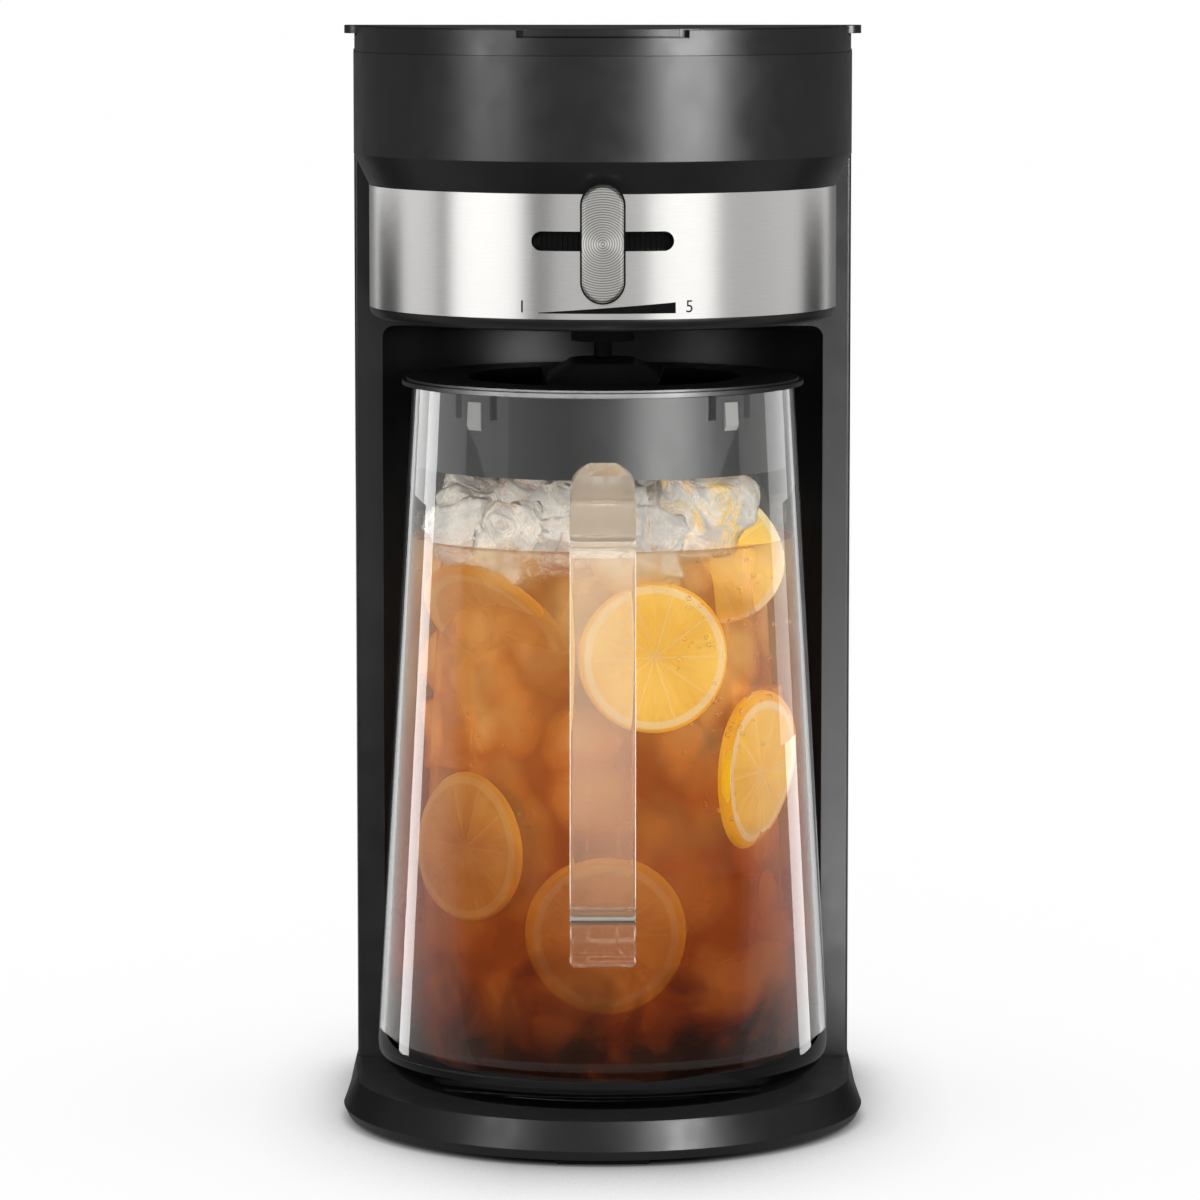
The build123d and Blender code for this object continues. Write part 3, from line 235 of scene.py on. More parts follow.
def spun_aluminium():
    """Aluminium with turned rings round the middle of the knob's face."""
    low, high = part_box("strength_knob")
    middle = (low + high) / 2
    finish, tree = new_finish("spun_aluminium")
    coords = add_node(tree, "TexCoord").outputs["Object"]
    out = add_node(tree, "VectorMath", {0: coords, 1: tuple(middle)}, operation="SUBTRACT")
    flat = add_node(tree, "VectorMath", {0: out, 1: (1, 0, 1)}, operation="MULTIPLY")
    reach = add_node(tree, "VectorMath", {0: flat}, operation="LENGTH").outputs["Value"]
    turns = add_node(tree, "Math", {0: reach, 1: 2 * pi / RING_SPACING}, operation="MULTIPLY")
    rings = add_node(tree, "Math", {0: turns}, operation="SINE")
    lift = add_node(tree, "MapRange", {"Value": rings, "From Min": -1.0})
    outward = add_node(tree, "VectorMath", {0: flat}, operation="NORMALIZE")
    colour = add_node(tree, "ValToRGB", {"Fac": lift}, [(0.0, "#86857f"), (1.0, "#cfcecb")])
    edge = add_node(tree, "Bevel", {"Radius": 0.5 * MM}, samples=4)
    bump = add_node(tree, "Bump", {"Height": lift, "Distance": 0.02 * MM, "Normal": edge})
    metal = add_node(tree, "BsdfPrincipled", {
        "Base Color": colour, "Metallic": 1.0, "Roughness": 0.34, "Anisotropic": 0.6,
        "Tangent": outward, "Normal": bump})
    finish_with(tree, metal)
    print("knob middle in mm:", [round(v / MM, 1) for v in middle])
    return finish


spun_knob = spun_aluminium()

# %% [markdown]
# ## Plain metals
# The heater is cast aluminium with a dull, pebbled skin. Springs, clamps and hinge pins are
# drawn wire, smooth with faint lengthwise lines. Screws and straps are zinc plated, which
# gives a slightly blue, cloudy shine. All three are one recipe with different numbers.
# %% Metals
def plain_metal(name, dark, light, roughness, grain_mm, depth_mm):
    """Bare metal with cloudy colour and gloss, and a grain of the given size and depth."""
    finish, tree = new_finish(name)
    coords = add_node(tree, "TexCoord").outputs["Object"]
    cloud = add_node(tree, "TexNoise", {
        "Vector": coords, "Scale": scale_for(grain_mm * 4), "Detail": 3})
    colour = add_node(tree, "ValToRGB", {"Fac": cloud}, [(0.3, dark), (0.7, light)])
    gloss = add_node(tree, "ValToRGB", {"Fac": cloud}, [
        (0.3, roughness - 0.06), (0.7, roughness + 0.08)])
    grain = add_node(tree, "TexNoise", {
        "Vector": coords, "Scale": scale_for(grain_mm), "Detail": 2})
    bump = add_node(tree, "Bump", {"Height": grain, "Distance": depth_mm * MM})
    metal = add_node(tree, "BsdfPrincipled", {
        "Base Color": colour, "Metallic": 1.0, "Roughness": gloss, "Normal": bump})
    finish_with(tree, metal)
    return finish


cast_metal = plain_metal("cast_aluminium", "#97989a", "#b4b5b7", 0.5, 1.6, 0.08)
spring_steel = plain_metal("drawn_spring_steel", "#a4a5a8", "#c3c4c6", 0.24, 0.5, 0.004)
zinc_plate = plain_metal("zinc_plate", "#8f939b", "#b3b7bf", 0.33, 0.8, 0.01)
print("metals:", cast_metal.name, spring_steel.name, zinc_plate.name)

# %% [markdown]
# ## Nylon mesh
# The filter is woven nylon with holes of about 0.3 mm. Threads that fine would only shimmer,
# so the weave is drawn at 1.2 mm between threads, as a grid of holes round the cone.
# %% Woven nylon
THREAD_SPACING, THREADS_ROUND = 1.2 * MM, 240


def woven_nylon():
    """A grid of nylon threads, see-through between them."""
    finish, tree = new_finish("woven_nylon_mesh")
    coords, xyz, turn = point_on(tree)
    round_waves = add_node(tree, "Math", {0: turn, 1: THREADS_ROUND}, operation="MULTIPLY")
    high_waves = add_node(tree, "Math", {0: xyz["Z"], 1: 2 * pi / THREAD_SPACING},
                          operation="MULTIPLY")
    warp = add_node(tree, "Math", {0: round_waves}, operation="COSINE")
    weft = add_node(tree, "Math", {0: high_waves}, operation="COSINE")
    thread = add_node(tree, "Math", {0: warp, 1: weft}, operation="MAXIMUM")
    alpha = add_node(tree, "ValToRGB", {"Fac": thread}, [(0.25, 0.12), (0.45, 1.0)])
    cloud = add_node(tree, "TexNoise", {"Vector": coords, "Scale": scale_for(6), "Detail": 2})
    colour = add_node(tree, "ValToRGB", {"Fac": cloud}, [(0.3, "#c9c2a8"), (0.7, "#dcd6bf")])
    nylon = add_node(tree, "BsdfPrincipled", {
        "Base Color": colour, "Roughness": 0.45, "IOR": 1.53, "Alpha": alpha})
    finish_with(tree, nylon)
    return finish


filter_nylon = woven_nylon()
print("filter:", filter_nylon.name)

# %% [markdown]
# ## Clear plastics
# The pitcher is clear copolyester, IOR near 1.55 and drawn at 1.52: it bends light like glass
# and lets the lamps shine through to the tea. Long use leaves a faint haze, which a little
# roughness gives. The handle is the same plastic with a moulded-in frost, so it is rougher, and
# milkier towards its top. The lamp's lens is a tinted moulding of the same kind.
# %% Clear copolyester
HAZE_TOP, CLOUD_MM = 250, 18


def clear_plastic(name, tint, roughness, ior=1.52, haze=None):
    """A see-through plastic; haze is a colour and the share it covers, by height in mm."""
    finish, tree = new_finish(name)
    shell = add_node(tree, "BsdfPrincipled", {
        "Base Color": tint, "Roughness": roughness, "IOR": ior, "Transmission Weight": 1.0})
    if haze:
        colour, cover = haze
        coords, xyz, _ = point_on(tree)
        milk = add_node(tree, "BsdfPrincipled", {
            "Base Color": colour, "Roughness": 0.5, "IOR": ior})
        level = add_node(tree, "MapRange", {"Value": xyz["Z"], "From Max": HAZE_TOP * MM})
        share = add_node(tree, "ValToRGB", {"Fac": level}, [
            (h / HAZE_TOP, part) for h, part in cover])
        cloud = add_node(tree, "TexNoise", {
            "Vector": coords, "Scale": scale_for(CLOUD_MM), "Detail": 3})
        uneven = add_node(tree, "ValToRGB", {"Fac": cloud}, [(0.3, 0.8), (0.7, 1.0)])
        covered = add_node(tree, "Math", {0: share, 1: uneven}, operation="MULTIPLY")
        shell = add_node(tree, "MixShader", {"Fac": covered, 1: shell, 2: milk})
    finish_with(tree, shell, through_shadow=True)
    return finish


jar_clear = clear_plastic("clear_copolyester", "#f4f5f3", 0.012)
handle_frost = clear_plastic("frosted_copolyester", "#f6f1e6", 0.06, haze=(
    "#f3dfc6", [(60, 0.0), (90, 0.05), (125, 0.12), (190, 0.17), (225, 0.24)]))
lamp_lens = clear_plastic("red_lamp_lens", "#d8412a", 0.15)
print("clear:", jar_clear.name, handle_frost.name, lamp_lens.name)

# %% [markdown]
# ## Which solid gets which finish
# One table names the finish of every solid, outside and inside, so that nothing is left plain
# when the lid is lifted or the pitcher is drawn out. The check at the end stops on a solid that
# the table forgets.
# %% Dress the solids
finish_of = {
    "charcoal_plastic": (satin_abs, """base_shell column_shell rear_cover head_shell lower_head
        head_rim top_lid button_bezel"""),
    "black_plastic": (textured_pp, """head_deck base_plate knob_carrier slot_curtain
        strength_shutter pitcher_lid brew_basket filter_frame drip_funnel drip_plunger
        spring_bridge spray_spout"""),
    "brushed_band": (brushed_band, "steel_band"),
    "spun_knob": (spun_knob, "strength_knob"),
    "smoky_clear": (jar_clear, "pitcher_jar"),
    "frosted_clear": (handle_frost, "pitcher_handle"),
    "filter_nylon": (filter_nylon, "filter_mesh"),
    "tank_plastic": (tank_pp, "water_tank check_valve"),
    "cast_metal": (cast_metal, "heater_body thermal_fuse"),
    "spring_steel": (spring_steel, "drip_spring heating_rod hose_clamps lid_hinge_pins"),
    "zinc_screw": (zinc_plate, """heater_straps heater_screws base_screws rear_cover_screws
        deck_screws"""),
    "silicone": (silicone, "drip_seal riser_tube riser_grommet inlet_hose outlet_hose"),
    "black_rubber": (rubber, "wire_loom cord_gland rubber_feet"),
    "switch_plastic": (gloss_abs, "thermostat power_switch power_button"),
    "lamp_lens": (lamp_lens, "indicator_lens"),
}
undressed = set(nodes)
for slot_name, (finish, names) in finish_of.items():
    for name in names.split():
        nodes[name].data.materials.clear()
        nodes[name].data.materials.append(finish)
        undressed.discard(name)
assert not undressed, undressed
print("dressed", len(nodes), "solids with", len(finish_of), "finishes")

# %% [markdown]
# ## Making meshes
# Everything poured or printed is built as a mesh in place, in metres. A turned shape is a
# profile swept round the upright axis, which suits tea in a round jar. A bar runs through a row
# of rings, which suits wire, wedges and print. `piece` wraps the mesh in an object, gives it
# its material and makes it ride on the part that carries it.
# %% Mesh helpers
def solid_mesh(name, points, faces):
    """A mesh from points in metres and faces as lists of point numbers."""
    mesh = bpy.data.meshes.new(name)
    mesh.from_pydata(points, [], faces)
    mesh.update()
    return mesh


def bar(rings, first=0):
    """Points and faces of a closed bar through rings of points, numbered from first."""
    count = len(rings[0])
    last = first + (len(rings) - 1) * count
    faces = []
    for row in range(first, last, count):
        for j in range(count):
            nxt = (j + 1) % count
            faces.append((row + j, row + count + j, row + count + nxt, row + nxt))
    faces.append(tuple(range(first, first + count)))
    faces.append(tuple(range(last + count - 1, last - 1, -1)))
    return [point for ring in rings for point in ring], faces


def piece(name, mesh, finish, body, smooth=True):
    """A new object that rides on one moving part of the machine."""
    thing = bpy.data.objects.new(name, mesh)
    bpy.context.scene.collection.objects.link(thing)
    mesh.materials.append(finish)
    mesh.polygons.foreach_set("use_smooth", [smooth] * len(mesh.polygons))
    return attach(thing, body)


def turned(name, profile, steps=144):
    """A closed mesh from (radius, height) points in metres that start and end on the axis."""
    points, faces = [(0, 0, profile[0][1])], []
    rings = profile[1:-1]
    for radius, height in rings:
        points += [(radius * cos(2 * pi * k / steps), radius * sin(2 * pi * k / steps), height)
                   for k in range(steps)]
    points.append((0, 0, profile[-1][1]))
    for k in range(steps):
        nxt = (k + 1) % steps
        faces.append((0, 1 + nxt, 1 + k))
        for row in range(len(rings) - 1):
            low, high = 1 + row * steps, 1 + (row + 1) * steps
            faces.append((low + k, low + nxt, high + nxt, high + k))
        top = 1 + (len(rings) - 1) * steps
        faces.append((top + k, top + nxt, len(points) - 1))
    return solid_mesh(name, points, faces)


print("a turned shape has 144 steps of", 360 / 144, "degrees")

# %% [markdown]
# ## The valve spring
# The spring over the drip valve is a wire coil of six turns. When the pitcher's lid pushes
# the plunger up, the coil gets 3 mm shorter, which a rigid solid can't do. The coil is drawn
# again here as a tube round a helix; it keeps its length.
# %% Coil the valve spring
SPRING_TURNS, WIRE_RADIUS, VALVE_LIFT = 6, 0.45 * MM, 3 * MM


def coil(name, low, high, steps=28, around=8):
    """A closed tube of wire that climbs in turns from one corner of a box to the other."""
    reach = (high.x - low.x) / 2 - WIRE_RADIUS
    start, climb = low.z + WIRE_RADIUS, high.z - low.z - 2 * WIRE_RADIUS
    count = SPRING_TURNS * steps
    sides = [2 * pi * j / around for j in range(around)]
    rings = []
    for k in range(count + 1):
        angle, level = 2 * pi * k / steps, start + climb * k / count
        rings.append([((reach + WIRE_RADIUS * cos(side)) * cos(angle),
                       (reach + WIRE_RADIUS * cos(side)) * sin(angle),
                       level + WIRE_RADIUS * sin(side)) for side in sides])
    return solid_mesh(name, *bar(rings))


spring_low, spring_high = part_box("drip_spring")
spring_coil = piece("drip_spring_coil", coil("drip_spring_coil", spring_low, spring_high),
                    spring_steel, "housing")
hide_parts("drip_spring")
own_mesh(spring_coil)
print("spring:", [round(v / MM, 2) for v in (*spring_low, *spring_high)])

# %% [markdown]
# ## Snap wedges on the pitcher's lid
# Two small wedges at the front of the collar click under the jar's rim. They are black, like the
# lid, but catch the light, so their faces are painted pale as a highlight and show as two light
# marks through the clear wall. Each gets a thin facing, an outline swept a few degrees round the
# axis, which covers the solid by 0.06 mm.
# %% Face the snap wedges
# Painted highlight: pale grey on the wedges' faces stands in for the light that they catch.
wedge_highlight_paint = moulded("pale_moulded_acetal", "#b9b9b6", "#d2d2cf", 0.28, 1.2, 0.01, 0.6, 0.3)
WEDGE_LINE = [(60.6, 235.75), (61.06, 235.75), (61.81, 237.4), (61.26, 245.0), (60.6, 245.0)]
WEDGE_TURNS = [(-44.9, -39.7), (39.7, 44.9)]


def swept_wedges(name, line, turns, steps=5):
    """Closed blocks with one outline of (radius, height), each swept between two angles."""
    points, faces = [], []
    for start, end in turns:
        swing = [radians(start + (end - start) * k / steps) for k in range(steps + 1)]
        block = bar([[(r * sin(turn) * MM, -r * cos(turn) * MM, z * MM) for r, z in line]
                     for turn in swing], len(points))
        points += block[0]
        faces += block[1]
    return solid_mesh(name, points, faces)


piece("snap_wedge_faces", swept_wedges("snap_wedge_faces", WEDGE_LINE, WEDGE_TURNS), wedge_highlight_paint,
      "pitcher_lid", smooth=False)
print("snap wedges faced:", len(WEDGE_TURNS))

# %% [markdown]
# ## The inside of the jar
# The wall leans inwards by about 3 degrees from a rounded foot. The tea needs that same line,
# so it is written once: the radius of the inside at any height.
# %% The jar's inner line
# All in mm: the jar's floor, the radius of its foot's corner and the tea's surface; then the
# outer radius at the foot, the height where the straight wall starts, its lean and thickness.
FLOOR, CORNER, TEA_TOP = 20.5, 10.0, 196.5
FOOT_RADIUS, WALL_START, WALL_LEAN, WALL_THICK = 76.0, 26.6, 0.0539, 2.5


def inside_radius(height, inset=0.0):
    """Inner radius of the jar at a height, in mm, moved inwards by inset."""
    wall = FOOT_RADIUS - (height - WALL_START) * WALL_LEAN - WALL_THICK
    low = FLOOR + CORNER - height
    if low > 0:
        wall -= CORNER - sqrt(max(CORNER ** 2 - min(low, CORNER) ** 2, 0))
    return wall - inset


print("inside radius at foot, tea line and rim:",
      [round(inside_radius(h), 1) for h in (32, TEA_TOP, 247)])

# %% [markdown]
# ## Tea
# Iced tea is a murky liquid: near the top it is pale and you can see into it, and towards the
# foot it is nearly black. Its colour by height paints both in: painted light coming through the
# upper tea and painted shade towards the foot. A true volume would be slow and grainy. Instead the
# tea is three nested skins, each a film of murk that covers more towards the foot, and the
# inmost one covers fully. Fruit between the skins fades with depth, as it does in a real jug.
# Ice deep in the tea shows as soft round ghosts, which a cell pattern draws at 27 mm apart, with
# painted shade at their borders.
# %% Murk that thickens downwards
LUMP_SPACING, LUMP_WOBBLE = 27, 14


def tea_murk(name, colours, cover, cloud_mm, patch, shades):
    """A film of tea: colours and cover are (height in mm, value) from foot to surface.

    Clouds of cloud_mm shift both up and down by patch mm. The two shades are the tints
    between the ghosts and at their borders."""
    finish, tree = new_finish(name)
    coords, xyz, _ = point_on(tree)
    swirl = add_node(tree, "TexNoise", {
        "Vector": coords, "Scale": scale_for(cloud_mm), "Detail": 3.0, "Distortion": 0.8})
    wander = add_node(tree, "MapRange", {
        "Value": swirl.outputs["Fac"], "From Min": 0.3, "From Max": 0.7,
        "To Min": -patch * MM, "To Max": patch * MM})
    mixed = add_node(tree, "Math", {0: xyz["Z"], 1: wander}, operation="ADD")
    level = add_node(tree, "MapRange", {
        "Value": mixed, "From Min": FLOOR * MM, "From Max": TEA_TOP * MM})
    deep = TEA_TOP - FLOOR
    # Painted light and shade: the tint runs from near black at the foot to pale near the surface.
    tint = add_node(tree, "ValToRGB", {"Fac": level}, [
        ((h - FLOOR) / deep, code) for h, code in colours])
    alpha = add_node(tree, "ValToRGB", {"Fac": level}, [
        ((h - FLOOR) / deep, part) for h, part in cover])
    wobble = add_node(tree, "VectorMath", {
        0: swirl.outputs["Color"], 1: (LUMP_WOBBLE * MM,) * 3}, operation="MULTIPLY")
    bent = add_node(tree, "VectorMath", {0: coords, 1: wobble}, operation="ADD")
    lumps = add_node(tree, "TexVoronoi", {
        "Vector": bent, "Scale": scale_for(LUMP_SPACING)}).outputs["Distance"]
    # Painted shade: the tint darkens towards the borders of the ghosts, as if shade fell between
    # lumps.
    ghost_painted_shade = add_node(tree, "ValToRGB", {"Fac": lumps}, [
        (0.22, "#ffffff"), (0.46, shades[0]), (0.58, shades[1])])
    shaded = add_node(tree, "VectorMath", {0: tint, 1: ghost_painted_shade}, operation="MULTIPLY")
    tea = add_node(tree, "BsdfPrincipled", {
        "Base Color": shaded, "Alpha": alpha, "Roughness": 0.3, "IOR": 1.33,
        "Specular IOR Level": 0.15})
    finish_with(tree, tea, through_shadow=True)
    return finish


# From foot to surface the colours go from near black to pale: painted shade and painted light in
# the tea.
ghost_shades = ("#e2ba8a", "#98683f")
outer_murk = tea_murk(
    "tea_outer", [(22, "#150903"), (34, "#2e1407"), (46, "#6b2f10"), (60, "#a3551f"),
                  (94, "#aa5c26"), (122, "#d88c3c"), (150, "#fabd72"), (175, "#fcc87e"),
                  (196, "#fccf8c")],
    [(22, 0.97), (40, 0.92), (68, 0.7), (94, 0.52), (122, 0.34), (150, 0.26), (180, 0.28),
     (196, 0.46)], 26, 12, ("#f4e2c8", "#dcb890"))
middle_murk = tea_murk(
    "tea_middle", [(22, "#140803"), (46, "#70300f"), (64, "#a65218"), (90, "#ae591c"),
                   (120, "#e08c3c"), (160, "#fdc672"), (196, "#fad49a")],
    [(22, 0.98), (60, 0.8), (110, 0.62), (150, 0.5), (196, 0.45)], 34, 20, ghost_shades)
heart_murk = tea_murk(
    "tea_heart", [(22, "#0f0603"), (48, "#5e270c"), (66, "#9c4a16"), (95, "#93441a"),
                  (125, "#c06a2e"), (155, "#f6b65c"), (196, "#f8ce90")],
    [(22, 1.0), (196, 1.0)], 30, 24, ghost_shades)
print("murk from the wall inwards:", outer_murk.name, middle_murk.name, heart_murk.name)

# %% Pour the tea
MEAN_RADIUS_CM = 6.8


def tea_skin(name, inset, finish, meniscus=False):
    """One skin of the tea, inset mm inside the jar's wall, closed by a level top."""
    rows = [FLOOR + inset + 0.001] + [FLOOR + inset + CORNER * (1 - cos(radians(a)))
                                      for a in range(10, 91, 10)]
    rows += [h for h in range(38 + int(inset), 190, 8)]
    top = TEA_TOP - 0.15 * inset
    line = [(0, (FLOOR + inset) * MM)]
    line += [(inside_radius(h - inset, inset) * MM, h * MM) for h in rows if h < top - 3]
    edge = inside_radius(top, inset)
    if meniscus:  # the surface climbs 1.3 mm where it meets the wall
        line += [(edge * MM, (top + 1.3) * MM), ((edge - 0.9) * MM, (top + 0.5) * MM),
                 ((edge - 2.6) * MM, top * MM)]
    else:
        line += [(edge * MM, (top - 0.6) * MM), ((edge - 0.6) * MM, top * MM)]
    line += [(edge * 0.6 * MM, top * MM), (0, top * MM)]
    return piece(name, turned(name, line), finish, "pitcher")


tea_skin("tea_outer_skin", 0.35, outer_murk, meniscus=True)
tea_skin("tea_middle_skin", 11.0, middle_murk)
tea_skin("tea_heart", 25.0, heart_murk)
print("tea from", FLOOR, "to", TEA_TOP, "mm, about",
      round(pi * MEAN_RADIUS_CM ** 2 * (TEA_TOP - FLOOR) / 10 / 1000, 2), "litres")

# %% [markdown]
# ## Ice
# Ice lumps are clear outside and cloudy inside, with rounded corners and melted hollows. Each
# is a subdivided cube pushed in and out by noise, and no two are alike. Above the tea they
# pile up behind the wall; below it the same lumps show as soft amber shapes.
# %% A lump of ice
# how deep the hollows and the pits are and how many waves of each cross a lump; then the ball
# that a cube of 1 melts towards, and how far it gets
ROUGH, FINE_ROUGH, HOLLOWS, PITS = 0.4, 0.05, 2.3, 7
BALL, ROUND_OFF = 0.62, 0.5


def lump(centre, size, dice):
    """One melted lump as a bmesh: a rounded cube with hollows, turned at random."""
    made = bmesh.new()
    bmesh.ops.create_cube(made, size=1.0)
    bmesh.ops.subdivide_edges(made, edges=made.edges[:], cuts=7, use_grid_fill=True)
    shape = Matrix.Diagonal([size * dice.uniform(0.8, 1.15) for _ in range(3)]).to_3x3()
    turn = Matrix.Rotation(dice.uniform(0, pi), 3, Vector([dice.gauss(0, 1) for _ in range(3)]))
    seed = Vector([dice.uniform(0, 40) for _ in range(3)])
    for v in made.verts:
        soft = v.co.lerp(v.co.normalized() * BALL, ROUND_OFF)
        soft *= 1 + (ROUGH * noise.noise(soft * HOLLOWS + seed)
                     + FINE_ROUGH * noise.noise(soft * PITS + seed))
        v.co = Vector(centre) + turn @ (shape @ soft)
    return made


def ice_pile(name, places, size, finish, seed):
    """Many lumps as one mesh; places are (angle in degrees, reach in mm, height in mm)."""
    dice = Random(seed)
    points, faces = [], []
    for angle, reach, height in places:
        centre = (reach * sin(radians(angle)), -reach * cos(radians(angle)), height)
        one = lump(centre, size * dice.uniform(0.85, 1.15), dice)
        start = len(points)
        for v in one.verts:
            flat = sqrt(v.co.x ** 2 + v.co.y ** 2)
            squeeze = min(1.0, inside_radius(min(v.co.z, 240), 1.1) / flat)
            points.append((v.co.x * squeeze * MM, v.co.y * squeeze * MM, v.co.z * MM))
        faces += [[start + v.index for v in f.verts] for f in one.faces]
        one.free()
    piece(name, solid_mesh(name, points, faces), finish, "pitcher")
    print(name, len(places), "lumps,", len(faces), "faces")


print("lumps swell and shrink by up to", round(100 * (ROUGH + FINE_ROUGH)), "percent")

# %% Ice materials
CRACK_MM = 15


def clear_ice():
    """Clear outside, with white cloud and cracks inside that scatter light."""
    finish, tree = new_finish("clear_ice")
    coords = add_node(tree, "TexCoord").outputs["Object"]
    cracks = add_node(tree, "TexNoise", {
        "Vector": coords, "Scale": scale_for(CRACK_MM), "Detail": 6.0, "Distortion": 2.6})
    bump = add_node(tree, "Bump", {"Height": cracks, "Distance": 0.9 * MM})
    clear = add_node(tree, "BsdfPrincipled", {
        "Base Color": "#fbf8f4", "Roughness": 0.05, "IOR": 1.31, "Transmission Weight": 1.0,
        "Normal": bump})
    # Painted shade: the cloud darkens to grey-brown towards each lump's outline, which parts the
    # lumps.
    side = add_node(tree, "LayerWeight", {"Blend": 0.35}).outputs["Facing"]
    white_and_painted_shade = add_node(tree, "ValToRGB", {"Fac": side}, [
        (0.3, "#fdf8f0"), (0.62, "#cfc6bb"), (0.9, "#5f564e")])
    cloud = add_node(tree, "BsdfPrincipled", {
        "Base Color": white_and_painted_shade, "Roughness": 0.3, "IOR": 1.31, "Normal": bump})
    share = add_node(tree, "ValToRGB", {"Fac": cracks}, [(0.4, 0.12), (0.5, 0.45), (0.6, 0.9)])
    mix = add_node(tree, "MixShader", {"Fac": share, 1: clear, 2: cloud})
    finish_with(tree, mix, through_shadow=True)
    return finish


def steeped_ice():
    """Ice under the tea: amber light comes through it, less at its edges and lower down."""
    finish, tree = new_finish("steeped_ice")
    level = add_node(tree, "MapRange", {
        "Value": point_on(tree)[1]["Z"], "From Min": 40 * MM, "From Max": TEA_TOP * MM})
    # Painted shade: the tint is darker lower down in the tea.
    tint = add_node(tree, "ValToRGB", {"Fac": level}, [
        (0.0, "#4a1f0a"), (0.2, "#a8541b"), (0.5, "#dc8430"), (0.75, "#f8b658"),
        (1.0, "#fbdca6")])
    # Painted shade: the colour darkens towards each lump's outline.
    side = add_node(tree, "LayerWeight", {"Blend": 0.3}).outputs["Facing"]
    rim = add_node(tree, "ValToRGB", {"Fac": side}, [
        (0.1, "#ffffff"), (0.45, "#e2c4a4"), (0.85, "#9a6840")])
    shaded = add_node(tree, "VectorMath", {0: tint, 1: rim}, operation="MULTIPLY")
    body = add_node(tree, "BsdfPrincipled", {
        "Base Color": shaded, "Roughness": 0.4, "IOR": 1.31, "Alpha": 0.85})
    finish_with(tree, body, through_shadow=True)
    return finish


air_ice, tea_ice = clear_ice(), steeped_ice()
print("ice:", air_ice.name, tea_ice.name)

# %% Pile up the ice
dice = Random(7)
front_row = [(a + dice.uniform(-4, 4), 48 + dice.uniform(-3, 2), 201 + dice.uniform(-4, 6))
             for a in range(-86, 60, 26)]
second_row = [(a + 10, 26, 203 + dice.uniform(-3, 5)) for a in range(-80, 90, 40)]
back_row = [(a, 45, 200 + dice.uniform(-4, 4)) for a in range(116, 245, 32)]
ice_pile("floating_ice", front_row + second_row + back_row, 22, air_ice, 3)

# (angle, height) of the lemon slices; lumps that would touch them go deeper, to CLEAR_REACH
slice_spots = [(16, 162), (57, 122), (64, 191), (-48, 171), (-45, 98), (1, 72)]
SLICE_RING, SLICE_ROOM, CLEAR_REACH = 55, 46, 26
sunk = []
for level in range(5):
    for a in range(-110, 111, 36):
        turn, height = a + dice.uniform(-11, 11), 182 - 27 * level + dice.uniform(-8, 8)
        near = min(sqrt((radians(turn - t) * SLICE_RING) ** 2 + (height - h) ** 2)
                   for t, h in slice_spots)
        sunk.append((turn, dice.uniform(46, 52) if near > SLICE_ROOM else CLEAR_REACH, height))
ice_pile("sunken_ice", sunk, 23, tea_ice, 11)
print("lumps kept away from the slices:", sum(reach == CLEAR_REACH for _, reach, _ in sunk))

# %% [markdown]
# ## Lemon slices
# A slice is a disc about 50 mm wide and 5 mm thick: a thin waxy rind, a band of pale pith, and
# about ten wedges of juicy pulp between thin membranes. The wedges bulge a little and the
# membranes sink, so they are modelled; the juice sacs are drawn by the material. Real slices
# curl, so each one bends slightly.
# %% The slice's shape
RINGS = [0.0, 0.07, 0.2, 0.4, 0.6, 0.76, 0.84, 0.88, 0.93, 0.975, 1.0]
CORE, PULP_EDGE, RIND_EDGE = 0.07, 0.87, 0.93


def slice_mesh(name, radius, thick, wedges, curl, seed):
    """A slice lying flat: z is its thickness, and its wedges bulge on both faces."""
    dice = Random(seed)
    around, rings = wedges * 10, RINGS
    skew = [dice.uniform(-0.15, 0.15) for _ in range(wedges)]
    points, faces = [], []
    for side in (1, -1):
        for ring in rings[1:]:
            for k in range(around):
                turn = 2 * pi * k / around
                place = (k / 10) % 1.0
                bulge = sin(pi * place) ** 0.5 if CORE < ring < PULP_EDGE else 0.25
                edge = 1 - max(0, (ring - RIND_EDGE) / (1 - RIND_EDGE)) ** 2 * 0.75
                lift = thick / 2 * (0.8 + 0.2 * bulge * (1 + skew[k // 10])) * edge
                r = radius * ring * (1 + 0.012 * sin(3 * turn + seed))
                x, y = r * cos(turn), r * sin(turn)
                points.append((x, y, side * lift + curl * (x * x - y * y) / radius))
        points.append((0, 0, side * thick * 0.4))
    count, middle = (len(rings) - 1) * around, (len(rings) - 1) * around
    for s, start in ((0, 0), (1, count + 1)):
        for k in range(around):
            nxt = (k + 1) % around
            fan = (start + middle, start + k, start + nxt)
            faces.append(fan if s == 0 else fan[::-1])
            for row in range(len(rings) - 2):
                low, high = start + row * around, start + (row + 1) * around
                quad = (low + k, high + k, high + nxt, low + nxt)
                faces.append(quad if s == 0 else quad[::-1])
    rim, under = (len(rings) - 2) * around, count + 1 + (len(rings) - 2) * around
    for k in range(around):
        nxt = (k + 1) % around
        faces.append((rim + k, under + k, under + nxt, rim + nxt))
    return solid_mesh(name, [tuple(c * MM for c in p) for p in points], faces)


print("a slice has", len(RINGS) - 1, "rings on each face")

# %% Lemon flesh, pith and rind
SAC_MM, PATCH_MM, SAC_SPREAD, SAC_STRETCH = 1.4, 14, 0.016, 0.3


